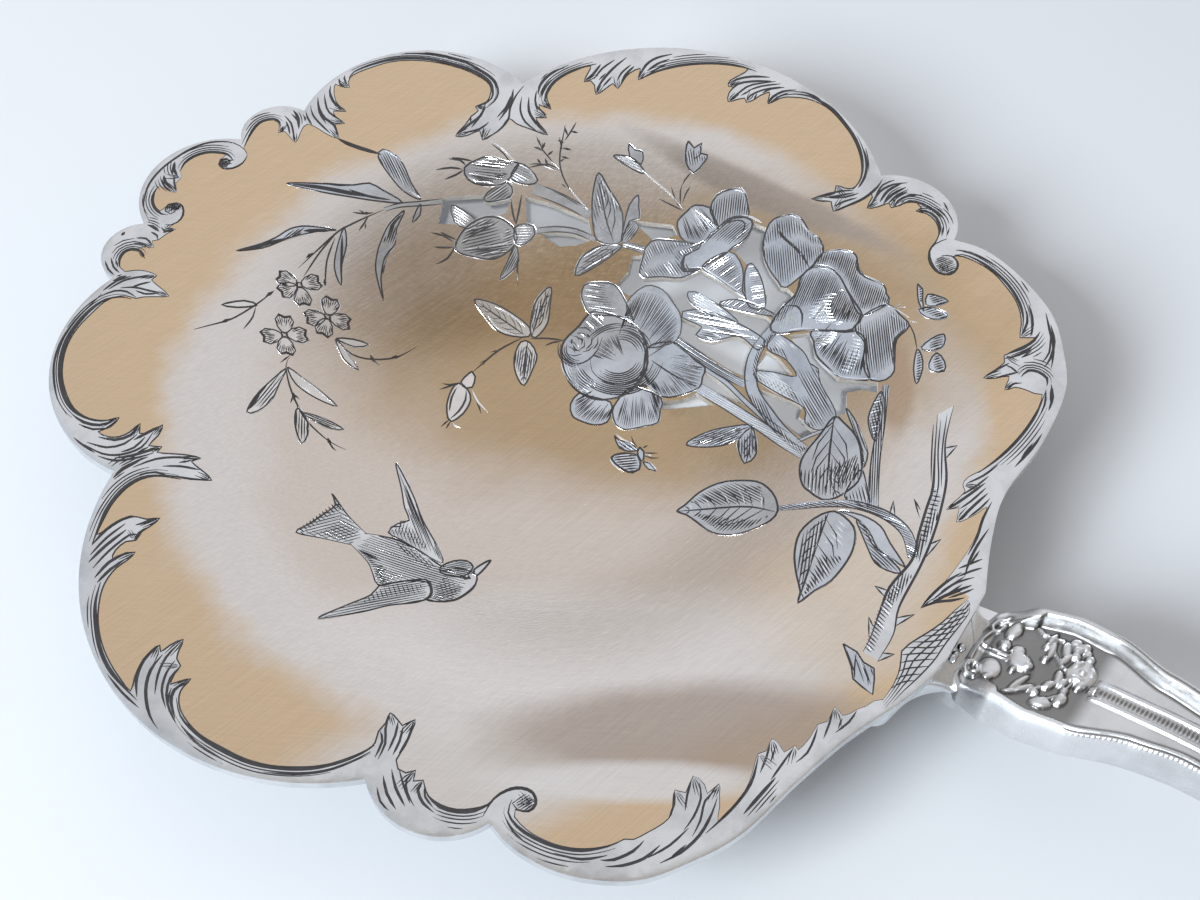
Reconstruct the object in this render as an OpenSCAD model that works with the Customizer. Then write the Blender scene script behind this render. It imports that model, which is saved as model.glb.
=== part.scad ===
// Serving spoon: a lobed, pierced bowl soldered to a stamped and filled handle.
// X runs from the tip of the bowl to the end of the handle, Z is up.
// The origin is the centre of the flat patch that the bowl rests on.

/* [Bowl] */
// Thickness of the bowl's sheet
sheet_t = 1; // [0.8:0.1:1.2]
// Depth of the well, from the brim down to its floor
well_depth = 9; // [8:0.5:11]
// Radius where the well meets the flat brim
well_r = 36; // [34:0.5:36]
// Radius of the flat patch under the well
rest_r = 9; // [8:0.5:12]
// Width of the brim at the heel
heel_brim_w = 6.3; // [5.8:0.1:7]
// Half width of the heel's straight end
heel_half_w = 3.4; // [3:0.1:3.8]
// Radius of the lobe at the tip
tip_lobe_r = 7.7; // [7.4:0.1:9]
// Rise of the long side lobes over the line between their cusps
side_lobe_rise = 11.7; // [10:0.1:13]
// Rise of the front side lobes
front_lobe_rise = 7.5; // [6.5:0.1:8.5]
// Rise of the small lobes beside the tip
tip_side_rise = 2.5; // [2:0.1:3]
// Rise of the small lobes behind the long ones
rear_small_rise = 3.2; // [2.6:0.1:3.8]

/* [Heel and neck] */
// Thickness of the plate under the heel
bracket_t = 1.5; // [1.2:0.1:2]
// Half width of the bracket's body, without the wing tips
bracket_half_w = 9.4; // [8.5:0.1:10]
// Clearance between the well and the inner edge of the bracket
bracket_gap = 0.8; // [0.5:0.1:1.4]
// How far the neck reaches past the heel of the bowl
neck_reach = 2.2; // [1.8:0.1:3]
// Height of the bolster under the bracket
bolster_h = 4; // [3.6:0.1:5]
// Clearance that solder fills round the tang
tang_gap = 0.05; // [0.03:0.01:0.1]

/* [Handle] */
// Length of the handle
handle_len = 139; // [125:1:155]
// Width of the handle at its front end
root_w = 8; // [7.4:0.1:8.4]
// Width at the shoulders of the front panel
shoulder_w = 11.2; // [10:0.1:12.5]
// Width of the stem at its narrowest
stem_w = 6.4; // [6:0.1:7.5]
// Width of the broad end
end_w = 18.4; // [15:0.2:21]
// Height of the crown of the handle over the seam at its front end
crown_rise = 6.2; // [5:0.1:8]
// Thickness of the stamped shells
wall_t = 0.5; // [0.4:0.05:0.6]
// Clearance between the shells and the core
fill_gap = 0.05; // [0.03:0.01:0.1]

/* [Tang] */
// Width of the tang
tang_w = 3; // [2.4:0.1:3.2]
// Thickness of the tang
tang_t = 1.6; // [1.2:0.1:1.8]
// Length of the tang inside the handle
tang_len = 42; // [34:1:50]

/* [Hidden] */
$fn = 96;

brim_z = well_depth + sheet_t;
heel_x = well_r + heel_brim_w;
under_z = well_depth;
bracket_z = under_z - bracket_t;
root_x = heel_x + neck_reach;
tip_x = root_x + handle_len;
seam_root_z = bracket_z - 1.6;
seam_tip_z = 1;
stub_len = 3.4;
profile_steps = 10;
// Width of the flat ring on the well that the brim is joined to
ring_lap = 0.4;

// A point of the bowl's edge: how far it lies outside the well, and its bearing
function at(out, bearing) = (well_r + out) * [cos(bearing), sin(bearing)];

// Cusps between the lobes, from the tip to the heel, on the +Y side
cusp_tip = at(8.5, 171);
cusp_front = at(7.7, 161.7);
cusp_side = at(3.4, 130.9);
cusp_rear = at(5.5, 74.6);
cusp_small = at(6.3, 60.2);
// The last lobe runs back into the heel as a free curve
heel_curve = [at(8.2, 57.1), at(9.6, 52.1), at(10.4, 45.9), at(10, 40), at(9.3, 34.7),
              at(7.5, 27.4), at(5.6, 19), [heel_x - 1.8, 8.5], [heel_x, heel_half_w]];

// Pierced windows among the stems, leaves and petals
windows = [
  [[-23.5, 13], [-22, 16], [-20.5, 17.5], [-18.5, 18.5], [-17, 18], [-18, 16], [-19.5, 14], [-21, 12]],
  [[-17, 19], [-15.5, 20], [-11.5, 21.5], [-9.5, 20], [-12, 19.5], [-14, 18], [-15, 17]],
  [[-7.5, 23.5], [-3.5, 25], [-2.5, 24.5], [-4.5, 23]],
  [[-5.5, 20.5], [-4.5, 21], [-3.5, 19.5], [0.5, 21.5], [1.5, 23], [6.5, 22], [1.5, 20.5],
   [3, 19.5], [2, 19], [-1.5, 19.5], [-3.5, 17.5], [-5.5, 17.5], [-5, 19.5]],
  [[3.5, 28.5], [4.5, 28.5], [7, 25.5], [11, 24], [10.5, 21.5], [9, 21.5], [8.5, 23],
   [7, 24.5], [3, 25.5], [3.5, 27]],
  [[13, 20.5], [15, 21], [16, 19.5], [20, 17.5], [23.5, 18.5], [24, 17.5], [21.5, 16.5],
   [22.5, 14.5], [21.5, 14], [18.5, 17], [17, 18.5], [15.5, 19]],
  [[12, 16.5], [12, 18], [13, 17.5], [15.5, 16.5]],
  [[13.5, 14.5], [18.5, 14], [18.5, 13], [21.5, 12], [20, 11], [15, 13.5]],
  [[2.5, 18], [4.5, 18.5], [4.5, 17.5], [6.5, 17.5], [8, 18.5], [10.5, 18], [11.5, 15], [3.5, 16]],
  [[6, 20.5], [9, 21], [10.5, 20.5], [10.5, 19], [8, 19.5]],
  [[7.5, 14.5], [10, 14.5], [14, 12.5], [8, 13]],
  [[5.5, 10], [7.5, 11], [8, 12], [10, 11.5], [6, 9]]
];

function flip(p) = [p[0], -p[1]];

// Soft S curve of the well: 0 at the brim, 1 on the floor
function well_share(r) =
  let (t = min(1, max(0, (well_r - r) / (well_r - rest_r)))) t * t * (3 - 2 * t);

function well_line(lift) =
  [for (i = [0:profile_steps])
    let (r = rest_r + (well_r - rest_r) * i / profile_steps)
    [r, lift + well_depth * (1 - well_share(r))]];

function backwards(v) = [for (i = [len(v) - 1:-1:0]) v[i]];

// Points of a round lobe that bulges by rise over the line from cusp a to cusp b
function lobe_pts(a, b, rise, n) =
  let (half = norm(b - a) / 2,
       r = (half * half + rise * rise) / (2 * rise),
       out = [-(b - a)[1], (b - a)[0]] / (2 * half),
       centre = (a + b) / 2 + out * (rise - r),
       from = atan2(a[1] - centre[1], a[0] - centre[0]),
       to = atan2(b[1] - centre[1], b[0] - centre[0]),
       turn = to > from ? to - from - 360 : to - from)
  [for (i = [0:n - 1]) centre + r * [cos(from + turn * i / n), sin(from + turn * i / n)]];

tip_reach = sqrt(tip_lobe_r * tip_lobe_r - cusp_tip[1] * cusp_tip[1]);
tip_centre = cusp_tip[0] + tip_reach;
tip_turn = atan2(cusp_tip[1], -tip_reach);
tip_half = [for (i = [0:5]) let (a = 180 - (180 - tip_turn) * i / 6)
            [tip_centre + tip_lobe_r * cos(a), tip_lobe_r * sin(a)]];

half_edge = concat(tip_half,
                   lobe_pts(cusp_tip, cusp_front, tip_side_rise, 6),
                   lobe_pts(cusp_front, cusp_side, front_lobe_rise, 12),
                   lobe_pts(cusp_side, cusp_rear, side_lobe_rise, 18),
                   lobe_pts(cusp_rear, cusp_small, rear_small_rise, 6),
                   [cusp_small], heel_curve);

module bowl_outline() {
  far_side = [for (p = backwards(half_edge)) if (p[1] > 0.01) flip(p)];
  polygon(concat(half_edge, far_side));
}

module well() {
  difference() {
    rotate_extrude($fn = 180)
      polygon(concat([[0, 0]], well_line(0), [[well_r + ring_lap, under_z], [well_r + ring_lap, brim_z]],
                     backwards(well_line(sheet_t)), [[0, sheet_t]]));
    for (w = windows)
      translate([0, 0, -1]) linear_extrude(brim_z + 2) polygon(w);
  }
}

module brim() {
  difference() {
    translate([0, 0, under_z]) linear_extrude(sheet_t) bowl_outline();
    translate([0, 0, under_z - 1]) cylinder(r = well_r + ring_lap / 2, h = sheet_t + 2, $fn = 180);
  }
}

module bowl() {
  color("#d8bb92") union() {
    well();
    brim();
  }
}

module heel_bracket() {
  inner_x = well_r + bracket_gap;
  front = [[inner_x, 0], [inner_x + 0.5, bracket_half_w - 3.4], [inner_x + 1.6, bracket_half_w + 1],
           [heel_x - 1.7, bracket_half_w + 2.8], [heel_x - 0.3, bracket_half_w + 2],
           [heel_x - 0.9, bracket_half_w + 0.9], [heel_x + 0.7, bracket_half_w],
           [root_x, root_w / 2 + 1], [root_x, 0]];
  back = [for (p = backwards(front)) flip(p)];
  color("#cfd2d6")
  intersection() {
    translate([0, 0, bracket_z]) linear_extrude(bracket_t) polygon(concat(front, back));
    translate([0, 20, 0]) rotate([90, 0, 0]) linear_extrude(40)
      polygon([[inner_x - 1, bracket_z - 1], [root_x + 1, bracket_z - 1], [root_x + 1, bracket_z],
               [root_x, bracket_z + 0.5], [heel_x + 0.5, under_z], [inner_x - 1, under_z]]);
  }
}

module neck_bolster() {
  nose_x = well_r + bracket_gap + 0.6;
  color("#c4c7cb")
  difference() {
    intersection() {
      translate([0, 10, 0]) rotate([90, 0, 0]) linear_extrude(20)
        polygon([[nose_x, bracket_z], [root_x, bracket_z], [root_x, bracket_z - bolster_h],
                 [root_x - 2.9, bracket_z - bolster_h + 0.4], [nose_x + 1.6, bracket_z - 1.6]]);
      linear_extrude(brim_z + 1)
        polygon([[nose_x, -root_w / 4], [nose_x + 2.6, -root_w / 2 + 0.6],
                 [root_x - 1, -root_w / 2], [root_x, -root_w / 2],
                 [root_x, root_w / 2], [root_x - 1, root_w / 2],
                 [nose_x + 2.6, root_w / 2 - 0.6], [nose_x, root_w / 4]]);
    }
    translate([root_x - stub_len, -tang_w / 2 - tang_gap, seam_root_z - tang_t / 2 - tang_gap])
      cube([stub_len + 1, tang_w + 2 * tang_gap, tang_t + 2 * tang_gap]);
  }
}

// Cubic curve from height a to height b with the slopes sa and sb, over a run of d
function ease(u, d, a, b, sa, sb) =
  a * (1 + 2 * u) * pow(1 - u, 2) + sa * d * u * pow(1 - u, 2)
  + b * u * u * (3 - 2 * u) - sb * d * u * u * (1 - u);

lift_run = 17.5;
crown_run = 44;
lift_z = seam_root_z + crown_rise * 0.77;
crown_z = seam_root_z + crown_rise;

// Height of the seam between the two shells
function seam_z(x) =
  let (s = x - root_x)
  s <= 0 ? seam_root_z
  : s < lift_run ? ease(s / lift_run, lift_run, seam_root_z, lift_z, 0.37, 0.12)
  : s < crown_run
    ? ease((s - lift_run) / (crown_run - lift_run), crown_run - lift_run, lift_z, crown_z, 0.12, 0)
    : ease((s - crown_run) / (handle_len - crown_run), handle_len - crown_run,
           crown_z, seam_tip_z, 0, -0.1);

function half_w(x) =
  lookup(x, [[root_x, root_w / 2], [root_x + 2.5, root_w / 2 + 0.7], [root_x + 5.5, shoulder_w / 2],
             [root_x + 9, shoulder_w / 2 - 0.3], [root_x + 13.5, stem_w / 2 + 0.8],
             [root_x + 17.5, stem_w / 2 + 0.3], [root_x + 30, stem_w / 2],
             [root_x + 60, stem_w / 2 + 1.2], [tip_x - 48, end_w / 2 - 2.2],
             [tip_x - 24, end_w / 2], [tip_x - 12, end_w / 2 - 0.6], [tip_x - 6, end_w / 2 - 2.6],
             [tip_x - 2, end_w / 2 - 5.4], [tip_x, 1.6]]);

function top_h(x) =
  lookup(x, [[root_x, 1.9], [root_x + 6, 2.3], [root_x + 20, 2.1], [tip_x - 50, 1.8],
             [tip_x - 12, 1.5], [tip_x - 2, 1.2], [tip_x, 0.9]]);

function back_h(x) =
  lookup(x, [[root_x, 2.3], [root_x + 6, 2.5], [root_x + 20, 2.2], [tip_x - 50, 1.9],
             [tip_x - 12, 1.6], [tip_x - 2, 1.2], [tip_x, 0.9]]);

// The hollow shrinks to a vent at the tip
function hollow(x) = lookup(x, [[tip_x - 4, 1], [tip_x - 2, 0.6], [tip_x, 0.3]]);

stations = concat([for (i = [0:11]) root_x + 1.6 * i],
                  [for (i = [1:13]) root_x + 17.6 + (handle_len - 29.6) * i / 13],
                  [for (s = [9, 6, 4, 2, 0.8, 0]) tip_x - s]);
ring_n = 12;

function arc_pts(x, w, h, from, cz) =
  [for (j = [0:ring_n])
    let (a = from + 180 * j / ring_n, s = from == 0 ? 1 : -1)
    [x, w * cos(a), cz + s * h * pow(abs(sin(a)), 0.75)]];

function inner_w(x, gap) = (half_w(x) - wall_t - gap) * hollow(x);
function inner_h(h, x, gap) = (h - wall_t - gap) * hollow(x);

// One half of the handle as a closed C-shaped ring at station x
function shell_ring(x, from) =
  let (h = from == 0 ? top_h(x) : back_h(x), z = seam_z(x))
  concat(arc_pts(x, half_w(x), h, from, z),
         backwards(arc_pts(x, inner_w(x, 0), inner_h(h, x, 0), from, z)));

function drop_last(v) = [for (i = [0:len(v) - 2]) v[i]];

function core_ring(x) =
  let (z = seam_z(x))
  concat(drop_last(arc_pts(x, inner_w(x, fill_gap), inner_h(top_h(x), x, fill_gap), 0, z)),
         drop_last(arc_pts(x, inner_w(x, fill_gap), inner_h(back_h(x), x, fill_gap), 180, z)));

function flat_ring(x, w, h, z) = [[x, w, z + h], [x, -w, z + h], [x, -w, z - h], [x, w, z - h]];

function skin_faces(rings, n) =
  [for (i = [0:rings - 2], j = [0:n - 1], k = [0:1])
    let (a = i * n + j, b = i * n + (j + 1) % n, c = (i + 1) * n + j, d = (i + 1) * n + (j + 1) % n)
    k == 0 ? [a, c, d] : [a, d, b]];

function flatten(v) = [for (part = v, p = part) p];

function end_face(n, at) = [[for (j = [0:n - 1]) at + j]];

// A C-shaped ring's end is a strip between its outer and its inner arc
function split_face(n, at) =
  [for (j = [0:n / 2 - 2]) [at + j, at + j + 1, at + n - 2 - j, at + n - 1 - j]];

function turned(faces) = [for (f = faces) backwards(f)];

module loft(rings, split = false) {
  n = len(rings[0]);
  last = (len(rings) - 1) * n;
  near_end = split ? split_face(n, 0) : end_face(n, 0);
  far_end = split ? split_face(n, last) : end_face(n, last);
  polyhedron(points = flatten(rings),
             faces = concat(skin_faces(len(rings), n), near_end, turned(far_end)));
}

module handle_front_shell() {
  color("#d3d5d8") loft([for (x = stations) shell_ring(x, 0)], split = true);
}

module handle_back_shell() {
  color("#c9ccd0") loft([for (x = stations) shell_ring(x, 180)], split = true);
}

tang_stations = concat([for (x = stations) if (x < root_x + tang_len - 2) x], [root_x + tang_len]);

function tang_ring(x, gap) =
  let (s = max(0, x - root_x), w = tang_w / 2 - s * 0.014 + gap, h = tang_t / 2 - s * 0.006 + gap)
  flat_ring(x, w, h, seam_z(x));

module tang() {
  stub = flat_ring(root_x - stub_len, tang_w / 2, tang_t / 2, seam_root_z);
  color("#a9abaf") loft(concat([stub], [for (x = tang_stations) tang_ring(x, 0)]));
}

// The core's front face is a ring round the mouth of the tang's hole
module handle_filler() {
  skin = [for (x = stations) core_ring(x)];
  hole = [for (x = tang_stations) tang_ring(x, tang_gap)];
  n = len(skin[0]);
  q = n / 4;
  far = (len(skin) - 1) * n;
  h0 = len(skin) * n;
  hn = len(hole);
  mouth_fans = [for (c = [0:3], j = [0:q - 1])
                 [h0 + c, c * q + j, (c * q + j + 1) % n]];
  mouth_links = [for (c = [0:3]) [h0 + c, ((c + 1) * q) % n, h0 + (c + 1) % 4]];
  hole_faces = [for (f = skin_faces(hn, 4)) [f[0] + h0, f[2] + h0, f[1] + h0]];
  hole_end = [[for (j = [0:3]) h0 + (hn - 1) * 4 + j]];
  color("#8d857a")
  polyhedron(points = concat(flatten(skin), flatten(hole)),
             faces = concat(skin_faces(len(skin), n), [[for (j = [n - 1:-1:0]) far + j]],
                            mouth_fans, mouth_links, hole_faces, hole_end));
}

bowl();
heel_bracket();
neck_bolster();
tang();
handle_front_shell();
handle_back_shell();
handle_filler();
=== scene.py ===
import math
import random

import bpy
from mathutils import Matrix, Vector
from mathutils.geometry import delaunay_2d_cdt


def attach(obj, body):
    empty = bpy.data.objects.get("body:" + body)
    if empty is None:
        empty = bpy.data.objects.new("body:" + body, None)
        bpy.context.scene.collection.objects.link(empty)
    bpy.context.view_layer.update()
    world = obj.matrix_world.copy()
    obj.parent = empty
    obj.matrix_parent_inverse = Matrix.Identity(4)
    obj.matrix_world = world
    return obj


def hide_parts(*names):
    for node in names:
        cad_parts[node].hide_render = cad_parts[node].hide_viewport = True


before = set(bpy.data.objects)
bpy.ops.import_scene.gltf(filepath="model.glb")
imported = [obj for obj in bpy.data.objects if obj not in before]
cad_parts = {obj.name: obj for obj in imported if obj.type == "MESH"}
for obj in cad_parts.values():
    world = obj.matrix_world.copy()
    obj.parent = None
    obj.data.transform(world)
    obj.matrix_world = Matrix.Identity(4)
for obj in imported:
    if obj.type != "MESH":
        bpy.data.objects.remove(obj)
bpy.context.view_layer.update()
mm = 0.001  # drawing sizes are in millimetres, the scene is in metres
rng = random.Random(7)
print("frame loaded:", ", ".join(sorted(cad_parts)))


# camera, at the angle the photograph was taken from
shot = {
    "place": (0.05883, -0.07509, 0.13603),
    "tilt": 35.0124,
    "heading": 35.469,
    "lens": 52.424,
    "sensor": 36,
    "clipStart": 0.01,
}


def placeCamera():
    lens = bpy.data.cameras.new("spoonCamera")
    lens.lens = shot["lens"]
    lens.sensor_width = shot["sensor"]
    lens.clip_start = shot["clipStart"]
    camera = bpy.data.objects.new("spoonCamera", lens)
    camera.location = shot["place"]
    camera.rotation_euler = (math.radians(shot["tilt"]), 0, math.radians(shot["heading"]))
    bpy.context.scene.collection.objects.link(camera)
    bpy.context.scene.camera = camera


placeCamera()
bpy.context.scene.view_settings.view_transform = "Standard"


def put(tree, kind, props=None, **sockets):
    made = tree.nodes.new(kind)
    for name, value in (props or {}).items():
        setattr(made, name, value)
    for name, value in sockets.items():
        made.inputs[name.replace("_", " ")].default_value = value
    return made


def join(tree, source, out, target, into):
    tree.links.new(source.outputs[out], target.inputs[into])


def remap(tree, source, out, low, high, toLow=0, toHigh=1, kind="LINEAR"):
    span = put(tree, "ShaderNodeMapRange", {"interpolation_type": kind}, From_Min=low, From_Max=high)
    span.inputs["To Min"].default_value = toLow
    span.inputs["To Max"].default_value = toHigh
    join(tree, source, out, span, "Value")
    return span


def mixTones(tree, source, out, low, high):
    mixed = put(tree, "ShaderNodeMix", {"data_type": "RGBA"}, A=low, B=high)
    join(tree, source, out, mixed, "Factor")
    return mixed


# soft room: a pale wall beyond the spoon, a window glow at the left, a dim warm ceiling
room = {
    "dim": (0.56, 0.53, 0.5, 1),
    "wall": {"way": (-0.29, 0.71, 0.64), "spread": (0.7, 0.92), "colour": (0.83, 0.84, 0.87, 1)},
    "window": {"way": (-0.7, -0.2, 0.69), "spread": (0.8, 0.96), "colour": (0.7, 0.74, 0.8, 1)},
    "shade": {"way": (0.45, 0.32, 0.83), "spread": (0.86, 0.98), "colour": (0.42, 0.39, 0.36, 1)},
    "near": {"way": (0.1, -0.87, 0.4), "spread": (0.4, 0.85), "colour": (0.42, 0.43, 0.45, 1)},
    "floorColour": (0.65, 0.665, 0.69),
    "floorMottle": 0.985,
    "floorGrain": 70,
    "floorDetail": 4,
    "floorRoughness": 0.55,
    "floorHalf": 1.2,
}

# a broad window lamp at the left, and a small soft one by the camera that lights the table under the openings
lamps = {
    "leftWindow": {
        "kind": "AREA", "place": (-0.15, -0.53, 0.37), "aim": (0, 0, 0),
        "size": 0.3, "power": 6.6, "colour": (0.86, 0.94, 1),
    },
    "openingFill": {
        "kind": "SPOT", "place": (0.132, -0.199, 0.31), "aim": (-0.004, 0.0165, 0),
        "size": 0.008, "power": 2.8, "colour": (1, 0.985, 0.965), "cone": 9.2, "blend": 0.3,
    },
}


def addGlow(tree, coords, before, glow):
    facing = put(tree, "ShaderNodeVectorMath", {"operation": "DOT_PRODUCT"})
    join(tree, coords, "Generated", facing, 0)
    facing.inputs[1].default_value = Vector(glow["way"]).normalized()
    share = remap(tree, facing, "Value", *glow["spread"], kind="SMOOTHSTEP")
    mixed = mixTones(tree, share, "Result", room["dim"], glow["colour"])
    if before:
        join(tree, before, "Result", mixed, "A")
    return mixed


def makeRoom():
    world = bpy.data.worlds.new("softRoom")
    bpy.context.scene.world = world
    world.use_nodes = True
    tree = world.node_tree
    tree.nodes.clear()
    coords = put(tree, "ShaderNodeTexCoord")
    colour = None
    for name in ("near", "shade", "window", "wall"):
        colour = addGlow(tree, coords, colour, room[name])
    glow = put(tree, "ShaderNodeBackground")
    join(tree, colour, "Result", glow, "Color")
    end = put(tree, "ShaderNodeOutputWorld")
    join(tree, glow, "Background", end, "Surface")


def placeLamp(name, settings):
    lamp = bpy.data.lights.new(name, settings["kind"])
    if settings["kind"] == "SPOT":
        lamp.shadow_soft_size = settings["size"]
        lamp.spot_size = math.radians(settings["cone"])
        lamp.spot_blend = settings["blend"]
    else:
        lamp.size = settings["size"]
    lamp.energy = settings["power"]
    lamp.color = settings["colour"]
    made = bpy.data.objects.new(name, lamp)
    made.location = settings["place"]
    way = Vector(settings["aim"]) - Vector(settings["place"])
    made.rotation_euler = way.to_track_quat("-Z", "Y").to_euler()
    bpy.context.scene.collection.objects.link(made)


makeRoom()
for lampName, lampSettings in lamps.items():
    placeLamp(lampName, lampSettings)
print("camera and light placed")


# materials: each starts as a plain shader
def newMaterial(name, metallic=0):
    made = bpy.data.materials.new(name)
    made.use_nodes = True
    tree = made.node_tree
    tree.nodes.clear()
    shader = put(tree, "ShaderNodeBsdfPrincipled", Metallic=metallic)
    end = put(tree, "ShaderNodeOutputMaterial")
    join(tree, shader, "BSDF", end, "Surface")
    return made, tree, shader


polishMarks = {
    "ways": [  # pull, turn, detail, roughness of the two sets of scratches
        (26, 1.35, 3, 0.6),
        (18, 0.55, 2, 0.5),
    ],
    "secondShare": 0.35,
    "cloudDetail": 5,
    "cloudRoughness": 0.62,
    "roughSpan": (0.3, 0.7),
    "toneSpan": (0.36, 0.64),
}


def makePolishGroup():
    # fine wiping scratches and cloudy tarnish
    group = bpy.data.node_groups.new("handPolish", "ShaderNodeTree")
    face = group.interface
    for name, size in (("Scratch Size", 3000), ("Cloud Size", 60)):
        face.new_socket(name, in_out="INPUT", socket_type="NodeSocketFloat").default_value = size
    for name in ("Scratch", "Cloud"):
        face.new_socket(name, in_out="OUTPUT", socket_type="NodeSocketFloat")
    begin = put(group, "NodeGroupInput")
    end = put(group, "NodeGroupOutput")
    coords = put(group, "ShaderNodeTexCoord")
    mixed = put(group, "ShaderNodeMix", {"data_type": "FLOAT"}, Factor=polishMarks["secondShare"])
    for (pull, turn, detail, roughness), into in zip(polishMarks["ways"], "AB"):
        turned = put(group, "ShaderNodeMapping", {"vector_type": "TEXTURE"}, Scale=(pull, 1, 1))
        turned.inputs["Rotation"].default_value = (0, 0, turn)
        grain = put(group, "ShaderNodeTexNoise", Detail=detail, Roughness=roughness)
        join(group, coords, "Object", turned, "Vector")
        join(group, turned, "Vector", grain, "Vector")
        join(group, begin, "Scratch Size", grain, "Scale")
        join(group, grain, "Fac", mixed, into)
    join(group, mixed, "Result", end, "Scratch")
    cloud = put(group, "ShaderNodeTexNoise", Detail=polishMarks["cloudDetail"])
    cloud.inputs["Roughness"].default_value = polishMarks["cloudRoughness"]
    join(group, coords, "Object", cloud, "Vector")
    join(group, begin, "Cloud Size", cloud, "Scale")
    join(group, cloud, "Fac", end, "Cloud")
    return group


polishGroup = makePolishGroup()


def placePolish(tree, scratchSize, cloudSize):
    sizes = {"Scratch_Size": scratchSize, "Cloud_Size": cloudSize}
    return put(tree, "ShaderNodeGroup", {"node_tree": polishGroup}, **sizes)


def roughFrom(tree, source, out, low, high, shader):
    span = remap(tree, source, out, *polishMarks["roughSpan"], low, high)
    join(tree, span, "Result", shader, "Roughness")


def bumpFrom(tree, source, out, strength, depth, shader):
    bump = put(tree, "ShaderNodeBump", Strength=strength, Distance=depth)
    join(tree, source, out, bump, "Height")
    join(tree, bump, "Normal", shader, "Normal")


def scratchTint(tree, polish, colour, tones):
    # the wiping marks lie a little lighter and darker than the metal round them
    shade = remap(tree, polish, "Scratch", *polishMarks["toneSpan"], *tones)
    tinted = put(tree, "ShaderNodeMix", {"data_type": "RGBA", "blend_type": "MULTIPLY"}, Factor=1)
    join(tree, colour, "Result", tinted, "A")
    join(tree, shade, "Result", tinted, "B")
    return tinted


giltFinish = {
    "brim": (0.7, 0.53, 0.355, 1),
    "worn": (0.69, 0.61, 0.545, 1),
    # ovals of painted reflection, brown and pale: centre, half sizes, turn, tone, share
    "paintedReflections": [
        ((0.032, -0.003), (0.01, 0.009), 0.62, (0.72, 0.6, 0.47, 1), 0.7),
        ((0.016, -0.035), (0.014, 0.0055), 0.62, (0.74, 0.7, 0.665, 1), 0.95),
        ((0.0036, 0.0142), (0.033, 0.0178), 0.62, (0.5, 0.36, 0.215, 1), 0.95),
        ((0.0145, -0.0195), (0.021, 0.0085), 0.62, (0.8, 0.765, 0.745, 1), 0.8),
        ((0.0298, -0.0208), (0.0175, 0.0052), 0.62, (0.43, 0.35, 0.29, 1), 0.8),
        ((0.0278, -0.0274), (0.0115, 0.0019), 0.62, (0.8, 0.78, 0.765, 1), 0.85),
        ((0.0025, 0.0316), (0.016, 0.0018), 0.04, (0.41, 0.355, 0.315, 1), 0.8),
        ((0.025, 0.0188), (0.006, 0.0017), -1.04, (0.47, 0.34, 0.235, 1), 0.75),
    ],
    "scratchTone": (0.93, 1.045),
    "pale": (0.735, 0.69, 0.655, 1),
    "wornCentre": (0.0023, 0, 0),
    # how far out each tone is reached
    "wornTones": [(0.026, "worn"), (0.0312, "pale"), (0.0342, "pale"), (0.0382, "brim")],
    "wornStart": 0.004,
    "wornUneven": 0.008,
    "reflectionUneven": 0.5,
    "reflectionFade": (1.42, 0.82),
    "polish": (5200, 90),  # scratch size, cloud size
    "roughness": (0.15, 0.28),
    "bump": (0.22, 0.00006),  # strength, depth
}


def unsettle(tree, polish, source, amount):
    # a distance that wavers with the tarnish
    uneven = put(tree, "ShaderNodeMath", {"operation": "MULTIPLY_ADD"})
    uneven.inputs[1].default_value = amount
    join(tree, polish, "Cloud", uneven, 0)
    join(tree, source, "Value", uneven, 2)
    return uneven


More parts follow.
